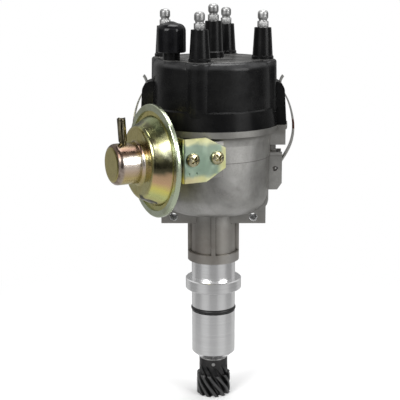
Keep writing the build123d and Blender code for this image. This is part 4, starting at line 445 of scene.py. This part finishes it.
def cap_moulding():
    """Black phenolic: satin sides, a painted grey highlight on the rounding, and painted grey sheen on
    the flat top.
    """
    s = Surface("cap_moulding")
    z = s.axis("Z")
    black = s.mottle(s.noise(55.0, 5.0, 0.6), (0.004, 0.004, 0.0042), (0.008, 0.008, 0.008), 0.4, 0.7)
    # Painted highlight: a grey band on the rounding of the top edge.
    painted_rounding_highlight = s.product(
        s.span(z, CAP_TOP_Z - 4.6 * MM, CAP_TOP_Z - 2.2 * MM),
        s.span(z, CAP_TOP_Z - 0.05 * MM, CAP_TOP_Z - 0.5 * MM),
        s.span(s.noise(60.0, 3.0), 0.35, 0.6, 0.3, 1.0),
        0.45,
    )
    tone = s.mix(painted_rounding_highlight, black, (0.07, 0.07, 0.071))
    # Painted sheen: grey on the flat top, in clouds.
    painted_top_sheen = s.product(
        s.span(z, CAP_TOP_Z - 0.25 * MM, CAP_TOP_Z - HAIR),
        s.below(z, CAP_TOP_Z + 0.2 * MM),
        s.span(s.noise(120.0, 4.0, 0.6), 0.40, 0.72, 0.35, 1.0),
    )
    s.set(Base_Color=s.mix(painted_top_sheen, tone, (0.165, 0.163, 0.158)))
    s.set(Roughness=s.wander(140.0, 4.0, 0.20, 0.31))
    gloss = s.span(z, SKIRT_TOP_Z - 0.5 * MM, SKIRT_TOP_Z + 0.5 * MM, 0.06, 0.15)
    s.set(Specular_IOR_Level=gloss)
    skin = s.bump(s.noise(320.0, 4.0, 0.6), 0.02 * MM, 0.5)
    s.normal(s.bump(s.noise(2400.0, 2.0), 0.006 * MM, 0.8, under=skin))
    return s.material


def clip_steel():
    """Bright spring strip with a little rust at its belly."""
    s = Surface("clip_steel")
    z = s.axis("Z")
    tone = s.mottle(s.noise(160.0, 4.0), (0.84, 0.83, 0.78), (0.97, 0.965, 0.93))
    belly = s.product(s.span(z, 99.5 * MM, 101.5 * MM), s.span(z, 108.5 * MM, 106 * MM))
    rust = s.product(belly, s.span(s.noise(110.0, 5.0, 0.7), 0.30, 0.45, 0.3, 1.0))
    s.set(Base_Color=s.mix(rust, tone, (0.085, 0.032, 0.02)), Metallic=1.0)
    s.set(Roughness=s.math("MULTIPLY_ADD", rust, 0.3, 0.3))
    s.normal(s.bump(s.noise(2400.0, 3.0), 0.006 * MM))
    return s.material


def gear_steel():
    """Blackened steel, lighter along the crests of the teeth."""
    s = Surface("gear_steel")
    radius = s.vector("LENGTH", s.vector("MULTIPLY", s.place, (1, 1, 0)))
    uneven = s.math("MULTIPLY_ADD", s.noise(400.0, 3.0), 1.2 * MM, -0.6 * MM)
    edge_tone = s.span(s.math("ADD", radius, uneven), 9.7 * MM, 10.3 * MM)
    dark = s.mottle(s.noise(180.0, 4.0), (0.018, 0.018, 0.019), (0.045, 0.044, 0.044))
    s.set(Base_Color=s.mix(s.product(edge_tone, 0.6), dark, (0.12, 0.12, 0.12)), Metallic=0.8)
    s.set(Roughness=s.wander(420.0, 3.0, 0.3, 0.45))
    s.normal(s.bump(s.noise(1800.0, 3.0), 0.012 * MM))
    return s.material


def terminal_metal():
    """Tinned brass, with painted shade in the knurling and the waist."""
    s = Surface("terminal_metal")
    tone = s.mottle(s.noise(180.0, 4.0), (0.27, 0.27, 0.268), (0.40, 0.40, 0.396))
    # Painted shade: darker where the surface is shut in.
    painted_shade = s.cavity(0.9 * MM, 0.95, 0.6, 0.6)
    s.set(Base_Color=s.mix(painted_shade, tone, (0.16, 0.16, 0.158)), Metallic=1.0)
    s.set(Roughness=s.wander(420.0, 3.0, 0.40, 0.52))
    s.normal(s.bump(s.noise(3000.0, 3.0), 0.006 * MM))
    return s.material


def screw_zinc():
    """Yellow zinc with painted shade in the recess."""
    s = Surface("screw_zinc")
    tone = s.mottle(s.noise(240.0, 4.0), (0.34, 0.30, 0.17), (0.60, 0.56, 0.38))
    # Painted shade: dark in the cross recess, where the surface is shut in.
    painted_shade = s.cavity(0.9 * MM, 0.8, 0.4, 0.95)
    s.set(Base_Color=s.mix(painted_shade, tone, (0.015, 0.013, 0.01)), Metallic=1.0)
    s.set(Roughness=s.wander(420.0, 3.0, 0.2, 0.32))
    s.normal(s.bump(s.noise(3000.0, 3.0), 0.006 * MM))
    return s.material


def thread_metal():
    """Freshly tapped aluminium."""
    s = Surface("thread_metal")
    tone = s.mottle(s.noise(900.0, 3.0), (0.80, 0.80, 0.80), (0.96, 0.96, 0.96))
    s.set(Base_Color=tone, Metallic=0.75)
    s.set(Roughness=s.wander(700.0, 3.0, 0.3, 0.45))
    s.normal(s.bump(s.noise(2600.0, 2.0), 0.006 * MM))
    return s.material


def recess_black():
    """Grease and shadow round the clip's pin."""
    s = Surface("recess_black")
    # Grease and painted shade.
    grease_and_shade = s.mottle(s.noise(900.0, 4.0), (0.008, 0.007, 0.006), (0.05, 0.045, 0.04), 0.4, 0.6)
    s.set(Base_Color=grease_and_shade)
    s.set(Roughness=s.wander(700.0, 3.0, 0.35, 0.6))
    s.normal(s.bump(s.noise(1500.0, 3.0), 0.02 * MM))
    return s.material


def nipple_metal():
    """Drawn tube, browned, with light and dark streaks along it and a dark mouth."""
    s = Surface("nipple_metal")
    streak = s.noise(1400.0, 3.0, 0.6, at=s.stretch((1.0, 1.0, 0.06)))
    colour = s.ramp(
        streak,
        (0.38, (0.012, 0.01, 0.006)),
        (0.50, (0.10, 0.085, 0.05)),
        (0.60, (0.34, 0.30, 0.19)),
        (0.74, (0.70, 0.67, 0.56)),
    )
    mouth = s.span(s.axis("Z"), 112.2 * MM, 113.6 * MM, 0.0, 0.85)
    s.set(Base_Color=s.mix(mouth, colour, (0.04, 0.035, 0.025)), Metallic=1.0)
    s.set(Roughness=s.wander(500.0, 3.0, 0.2, 0.4))
    s.normal(s.bump(streak, 0.01 * MM))
    return s.material


METALS = {                       # light tone, dark tone, roughness
    "pin_steel": ((0.60, 0.60, 0.59), (0.46, 0.46, 0.45), 0.3),
    "shaft_steel": ((0.62, 0.62, 0.61), (0.48, 0.48, 0.47), 0.26),
    "bush_bronze": ((0.66, 0.44, 0.22), (0.50, 0.32, 0.16), 0.4),
    "inner_steel": ((0.58, 0.58, 0.57), (0.44, 0.44, 0.43), 0.34),
    "weight_steel": ((0.36, 0.36, 0.36), (0.26, 0.26, 0.26), 0.45),
    "plate_zinc": ((0.72, 0.68, 0.50), (0.58, 0.56, 0.42), 0.34),
    "spring_steel": ((0.50, 0.50, 0.49), (0.38, 0.38, 0.37), 0.3),
    "coil_winding": ((0.42, 0.14, 0.06), (0.28, 0.08, 0.03), 0.4),
    "blade_brass": ((0.80, 0.62, 0.28), (0.66, 0.48, 0.20), 0.28),
}
MOULDINGS = {                    # colour, roughness, then gloss and depth of grain if not the usual
    "rotor_moulding": ((0.05, 0.02, 0.014), 0.4),
    "hood_rubber": ((0.003, 0.003, 0.0035), 0.12, 0.17, 0.002 * MM),
    "ring_rubber": ((0.01, 0.01, 0.01), 0.35),
    "diaphragm_rubber": ((0.03, 0.03, 0.03), 0.55),
    "brush_carbon": ((0.04, 0.04, 0.042), 0.5),
}
FINISHES = {
    "thread_metal": thread_metal(),
    "recess_black": recess_black(),
    "cast_aluminium": cast_aluminium(),
    "cap_moulding": cap_moulding(),
    "terminal_metal": terminal_metal(),
    "clip_steel": clip_steel(),
    "can_zinc": can_zinc("can_zinc"),
    "can_back_zinc": can_zinc("can_back_zinc"),
    "nipple_metal": nipple_metal(),
    "bracket_zinc": bracket_zinc(),
    "screw_zinc": screw_zinc(),
    "gear_steel": gear_steel(),
}
FINISHES.update({name: metal(name, *values) for name, values in METALS.items()})
FINISHES.update({name: moulding(name, *values) for name, values in MOULDINGS.items()})
SLOT_OF = {row["node"]: row["material_slot"] for row in frame["record"]["subparts"]}
for node_name, node_mesh in NODES.items():
    node_mesh.data.materials.clear()
    node_mesh.data.materials.append(FINISHES[SLOT_OF[node_name]])


# ---------------------------------------------------------------- meshes of the small parts
def piece(name, verts, faces, finish, sharp=35.0, slot=None):
    """A smooth-shaded piece in a named finish, with its creases kept sharp."""
    mesh = bpy.data.meshes.new(name)
    mesh.from_pydata([tuple(v) for v in verts], [], faces)
    bm = bmesh.new()
    bm.from_mesh(mesh)
    bmesh.ops.recalc_face_normals(bm, faces=bm.faces)
    for face in bm.faces:
        face.smooth = True
    bm.to_mesh(mesh)
    bm.free()
    mesh.set_sharp_from_angle(angle=math.radians(sharp))
    mesh.materials.append(FINISHES[finish])
    item = bpy.data.objects.new(name, mesh)
    bpy.context.scene.collection.objects.link(item)
    slot or finish
    return item


def smooth(low, high, value):
    """0 up to low, 1 from high, and a smooth S between them."""
    t = min(max((value - low) / (high - low), 0.0), 1.0)
    return t * t * (3 - 2 * t)


def sawtooth(turns):
    """A wave that falls from 1 to 0 and climbs back once in each turn."""
    return abs(turns % 1.0 - 0.5) * 2


def arc(centre, radius, start, end, steps):
    """Points on a circle in a half section, between two angles in degrees."""
    turns = [math.radians(start + (end - start) * i / steps) for i in range(steps + 1)]
    return [(centre[0] + radius * math.cos(t), centre[1] + radius * math.sin(t)) for t in turns]


def ease(a, b, steps):
    """A smooth S between two points of a half section, upright at both ends."""
    run = []
    for i in range(1, steps):
        t = i / steps
        run.append((a[0] + (b[0] - a[0]) * t * t * (3 - 2 * t), a[1] + (b[1] - a[1]) * t))
    return run


def as_is(ring, turn, r, z):
    return r, z


def lathe(rings, segments, place, shape=as_is):
    """Vertices and faces of a turned part. Each ring is (radius, height) in mm; place puts a
    point in the model, and shape may change a ring's radius and height by its turn."""
    verts, faces = [], []
    for ring, (r, z) in enumerate(rings):
        for k in range(segments):
            turn = 2 * math.pi * k / segments
            rr, zz = shape(ring, turn, r, z)
            verts.append(place(Vector((rr * math.cos(turn), rr * math.sin(turn), zz))))
    for ring in range(len(rings) - 1):
        for k in range(segments):
            a = ring * segments + k
            b = ring * segments + (k + 1) % segments
            faces.append((a, b, b + segments, a + segments))
    faces.append(tuple(range(segments)))
    faces.append(tuple(range((len(rings) - 1) * segments, len(rings) * segments)))
    return verts, faces


def open_tube(faces, rings, segments):
    """Swaps the two end caps for a strip that joins the last ring to the first."""
    last = (len(rings) - 1) * segments
    strip = [(last + k, last + (k + 1) % segments, (k + 1) % segments, k) for k in range(segments)]
    return faces[:-2] + strip


def terminal(node):
    """Snap terminal: insert, knurled base, waisted neck and rounded head."""
    low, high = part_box(node)
    axis = Vector(((low.x + high.x) / 2, (low.y + high.y) / 2, 0))
    head_r, neck_r, base_r, foot_r, insert_r = 3.1, 2.4, 3.3, 3.1, 2.6
    crown_r = 2.0
    foot = low.z / MM
    crown = high.z / MM
    top = crown - 10.0           # end face of the tower
    base = top + 3.7             # upper end of the knurled base
    head = crown - 4.1
    teeth, tooth_depth = 40, 0.11
    rings = [
        (0.4, foot),
        (insert_r - 0.3, foot),
        (insert_r, foot + 0.3),
        (insert_r, top),
        (foot_r, top),
        (foot_r, top + 0.3),
        (base_r - 0.1, top + 0.4),
        (base_r, top + 0.5),
        (base_r, base - 0.3),
        (base_r - 0.12, base - 0.12),
        (neck_r + 0.35, base),
        (neck_r + 0.1, base + 0.15),
        (neck_r, base + 0.5),
    ]
    knurled = (7, 8)             # the two rings that bound the straight base
    rings += ease((neck_r, base + 0.5), (head_r, head), 12)
    rings += [(head_r, head), (head_r, crown - 2.2)]
    rings += arc((head_r - crown_r, crown - crown_r), crown_r, 0, 84, 9)
    rings += [(0.9, crown), (0.3, crown)]

    def knurl(ring, turn, r, z):
        if ring in knurled:
            r -= tooth_depth * (1 - sawtooth(turn * teeth / (2 * math.pi)))
        return r, z

    verts, faces = lathe(rings, teeth * 4, lambda p: p * MM + axis, knurl)
    item = piece(f"{node}_turned", verts, faces, "terminal_metal")
    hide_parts(node)
    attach(item, "base")


def phillips(centre, turn):
    """Vertices and faces of a pan-head screw with a cross recess, its head on the bracket's plate."""
    head_r, head_h, crown_h, shank_r, shank_l = 4.0, 2.6, 0.75, 2.0, 8.1
    corner_r = 1.3
    arm_l, arm_w, depth = 2.55, 0.52, 1.9
    segments, steps = 96, 34
    rings = [
        (0.3, -shank_l),
        (shank_r - 0.4, -shank_l),
        (shank_r, -shank_l + 0.4),
        (shank_r, 0.0),
        (head_r - 0.15, 0.0),
        (head_r, 0.15),
    ]
    rings += arc((head_r - corner_r, head_h - crown_h - 1.1), corner_r, 0, 62, 8)
    rim_r, rim_z = rings[-1]
    first_crown = len(rings)
    rings += [(rim_r * (1 - i / steps), rim_z) for i in range(1, steps)] + [(0.04, rim_z)]

    def recess(ring, angle, r, z):
        if ring < first_crown:
            return r, z
        z += (head_h - rim_z) * (1 - (r / rim_r) ** 2)
        x, y = r * math.cos(angle - turn), r * math.sin(angle - turn)
        cut = 0.0
        for a, b in ((x, y), (y, x)):
            reach = 1 - smooth(arm_l - 0.9, arm_l, abs(a))
            side = 1 - smooth(arm_w - 0.14, arm_w + 0.16, abs(b))
            cut = max(cut, side * reach * (1.0 - 0.35 * min(abs(a) / arm_l, 1)))
        core = 1 - smooth(0.75, 1.15, r)
        return r, z - depth * max(cut, core * 0.95)

    def place(p):
        return centre + (-CAN_DIR * p.x + UP * p.y + CAN_SIDE * p.z) * MM

    return lathe(rings, segments, place, recess)


def bracket_screws():
    """Both screws of the bracket in one piece, each with its cross at its own turn."""
    above_axis = 1.5
    verts, faces = [], []
    for back, turn in ((21.4, 0.66), (5.8, 0.86)):
        centre = CAN_DIR * (PLATE_END - back) * MM + CAN_SIDE * PLATE_FACE
        centre += UP * (CAN_Z + above_axis) * MM
        more, loops = phillips(centre, turn)
        faces += [tuple(len(verts) + i for i in loop) for loop in loops]
        verts += more
    item = piece("bracket_screws_turned", verts, faces, "screw_zinc", sharp=50)
    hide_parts("bracket_screws")
    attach(item, "base")


def nipple():
    """Hose tube: a spigot through the shell, the tube, and a mouth that was cut off unevenly."""
    lean = math.radians(3.4)
    out = UP * math.cos(lean) + CAN_DIR * math.sin(lean)
    foot = CAN_FOOT + CAN_DIR * (CAN_NOSE_S - 7.5 * MM) + UP * 11.75 * MM
    ahead = out.cross(CAN_SIDE)
    tube_r, spigot_r, bore_r, height = 2.4, 2.0, 1.55, 14.5
    shoulder = 1.2
    segments = 48
    rings = [(bore_r, -1.4), (spigot_r, -1.4), (spigot_r, 1.0), (tube_r - 0.2, 1.0), (tube_r, shoulder)]
    rings += [(tube_r, shoulder + (height - 1.4) * i / 8) for i in range(1, 9)]
    mouth = len(rings) - 1
    rings += [(tube_r - 0.1, height), (bore_r + 0.1, height), (bore_r, height - 0.2), (bore_r, -1.2)]

    def torn(ring, turn, r, z):
        if ring >= mouth and z > 1:
            z -= 0.35 + 0.2 * math.sin(3 * turn + 0.6) + 0.12 * math.sin(7 * turn)
            r += 0.0 if r < 2 else 0.05 * math.sin(5 * turn)
        return r, z

    def place(p):
        return foot + (CAN_SIDE * p.x + ahead * p.y + out * p.z) * MM

    verts, faces = lathe(rings, segments, place, torn)
    item = piece("nipple_tube", verts, open_tube(faces, rings, segments), "nipple_metal")
    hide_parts("nipple")
    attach(item, "base")


def ear_threads():
    """M6 threads in the two ear holes, fading out at both mouths."""
    low, high = -9.0, 9.0
    root, crest, pitch, segments = 2.51, 2.2, 1.0, 48
    steps = int((high - low) / pitch * 8)
    rings = [(root + 0.02, low)] + [(root, low + (high - low) * i / steps) for i in range(steps + 1)]
    rings.append((root + 0.02, high))

    def thread(ring, turn, r, z):
        if 0 < ring < len(rings) - 1:
            wave = sawtooth(z / pitch - turn / (2 * math.pi))
            fade = smooth(0.0, 0.8, min(z - low, high - z))
            r = root - (root - crest) * wave * fade
        return r, z

    for side, name in ((-1, "left"), (1, "right")):

        def place(p):
            return Vector((side * EAR_HOLE_X + p.x * MM, p.z * MM, EAR_HOLE_Z + p.y * MM))

        verts, faces = lathe(rings, segments, place, thread)
        faces = open_tube(faces, rings, segments)
        item = piece(f"ear_thread_{name}", verts, faces, "thread_metal", sharp=20, slot="cast_aluminium")
        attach(item, "base")


def boss_details():
    """On each side: the nub beside the cap's seat, and the end of the clip's pin in its hole, ringed by
    a dark disc of grease and painted shade.
    """
    nub_rings = [
        (0.05, 100.8),
        (0.5, 100.9),
        (0.9, 101.4),
        (1.0, 102.2),
        (1.0, 104.8),
        (0.9, 105.6),
        (0.5, 106.1),
        (0.05, 106.2),
    ]
    nub_width = 1.3
    hole_rings = [(0.1, -0.3), (1.55, -0.3), (1.55, 0.02), (1.3, 0.06), (0.1, 0.06)]
    tip_rings = [(0.05, -0.2), (0.6, -0.2), (0.6, 0.15), (0.45, 0.36), (0.2, 0.44), (0.05, 0.46)]
    tip_off = Vector((0.25, 0.3, 0))

    def ragged(ring, turn, r, z):
        if r > 1.2:
            r *= 1 + 0.10 * math.sin(3 * turn + 0.8) + 0.05 * math.sin(5 * turn)
        return r, z

    for side, name in ((-1, "left"), (1, "right")):

        def on_tab(p):
            return Vector((side * (REST_X + p.x * MM), REST_Y + p.y * nub_width * MM, p.z * MM))

        def on_boss(p):
            return Vector((side * (CLIP_PIN_X + p.x * MM), -CLEVIS_Y - p.z * MM, CLIP_PIN_Z + p.y * MM))

        nub = piece(f"rest_nub_{name}", *lathe(nub_rings, 28, on_tab), "cast_aluminium")
        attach(nub, "base")
        # A dark disc round the pin's end: grease and painted shade.
        hole = lathe(hole_rings, 40, on_boss, ragged)
        painted_shade = piece(f"pin_hole_{name}", *hole, "recess_black", slot="pin_steel")
        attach(painted_shade, "base")
        end = lathe(tip_rings, 32, lambda p: on_boss(p + tip_off))
        tip = piece(f"pin_tip_{name}", *end, "pin_steel")
        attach(tip, "base")


for number in range(1, 5):
    terminal(f"terminal_{number}")
terminal("coil_terminal")
bracket_screws()
nipple()
ear_threads()
boss_details()


# ---------------------------------------------------------------- stage, light and camera
def stage():
    """A pale floor that keeps the shadow and turns to plain white away from the object."""
    mesh = bpy.data.meshes.new("floor")
    signs = ((-1, -1), (1, -1), (1, 1), (-1, 1))
    corners = [(x * FLOOR_HALF, y * FLOOR_HALF, FLOOR_Z) for x, y in signs]
    mesh.from_pydata(corners, [], [(0, 1, 2, 3)])
    floor = bpy.data.objects.new("floor", mesh)
    bpy.context.scene.collection.objects.link(floor)
    s = Surface("floor")
    s.set(Base_Color=(0.93, 0.93, 0.93, 1), Roughness=0.85, Specular_IOR_Level=0.1)
    away = s.vector("LENGTH", s.place)
    ray = s.add("ShaderNodeLightPath")
    white = s.add("ShaderNodeEmission")
    clear = s.add("ShaderNodeBsdfTransparent")

    def fade(ray_kind, distances, near, far):
        node = s.add("ShaderNodeMixShader")
        s.wire(s.product(ray.outputs[ray_kind], s.span(away, *distances)), node.inputs[0])
        s.wire(near.outputs[0], node.inputs[1])
        s.wire(far.outputs[0], node.inputs[2])
        return node

    seen = fade("Is Camera Ray", FLOOR_WHITE, s.shader, white)
    whole = fade("Is Glossy Ray", FLOOR_CLEAR, seen, clear)
    s.wire(whole.outputs[0], s.output.inputs["Surface"])
    mesh.materials.append(s.material)


class Sky(Surface):
    """The studio round the object, by direction."""

    def __init__(self, name):
        self.world = bpy.data.worlds.new(name)
        self.world.use_nodes = True
        self.tree = self.world.node_tree
        self.tree.nodes.clear()
        self.output = self.add("ShaderNodeOutputWorld")
        self.shader = self.add("ShaderNodeBackground")
        self.tree.links.new(self.shader.outputs[0], self.output.inputs["Surface"])
        self.place = self.add("ShaderNodeTexCoord").outputs["Generated"]


def studio():
    """White to the camera, even light on matt surfaces, and panels and bands for the metal to show."""
    s = Sky("studio")
    x, y, z = s.axis("X"), s.axis("Y"), s.axis("Z")
    flat = s.math("ADD", s.squares(x, y), 0.001)
    corner = s.math("DIVIDE", s.math("ABSOLUTE", s.product(x, y, 2.0)), flat)
    level = s.span(corner, 0.5, 0.98, PANEL_LOW, PANEL_HIGH)
    for low, high, strength in BANDS:
        there = s.span(z, low, high)
        rest = s.product(level, s.math("SUBTRACT", 1.0, there))
        level = s.math("ADD", rest, s.product(there, strength))
    behind = s.span(s.math("DIVIDE", y, s.math("SQRT", flat)), 0.75, 0.95)
    behind = s.product(behind, s.span(z, 0.42, 0.30, 0.0, 0.2))
    level = s.math("MAXIMUM", level, behind)
    path = s.add("ShaderNodeLightPath")
    glossy = s.product(path.outputs["Is Glossy Ray"], s.math("SUBTRACT", level, AMBIENT))
    soft = s.math("ADD", glossy, AMBIENT)
    seen = s.math("MAXIMUM", path.outputs["Is Camera Ray"], path.outputs["Is Transmission Ray"])
    s.set(Strength=s.math("MAXIMUM", soft, seen))
    bpy.context.scene.world = s.world


def lamp(name, place, size, watts):
    data = bpy.data.lights.new(name, "AREA")
    data.shape = "RECTANGLE"
    data.size = size
    data.size_y = size
    data.energy = watts
    item = bpy.data.objects.new(name, data)
    item.location = place
    item.rotation_euler = (Vector(LAMP_AIM) - Vector(place)).to_track_quat("-Z", "Y").to_euler()
    bpy.context.scene.collection.objects.link(item)


def camera():
    data = bpy.data.cameras.new("camera")
    data.sensor_width = CAMERA_SENSOR
    data.lens = CAMERA_LENS
    data.shift_x = CAMERA_SHIFT
    item = bpy.data.objects.new("camera", data)
    item.location = CAMERA_PLACE
    item.rotation_euler = (math.radians(90 - CAMERA_TILT), 0, 0)
    bpy.context.scene.collection.objects.link(item)
    bpy.context.scene.camera = item


stage()
studio()
for settings in LAMPS:
    lamp(*settings)
camera()

bpy.context.scene.view_settings.view_transform = "Standard"
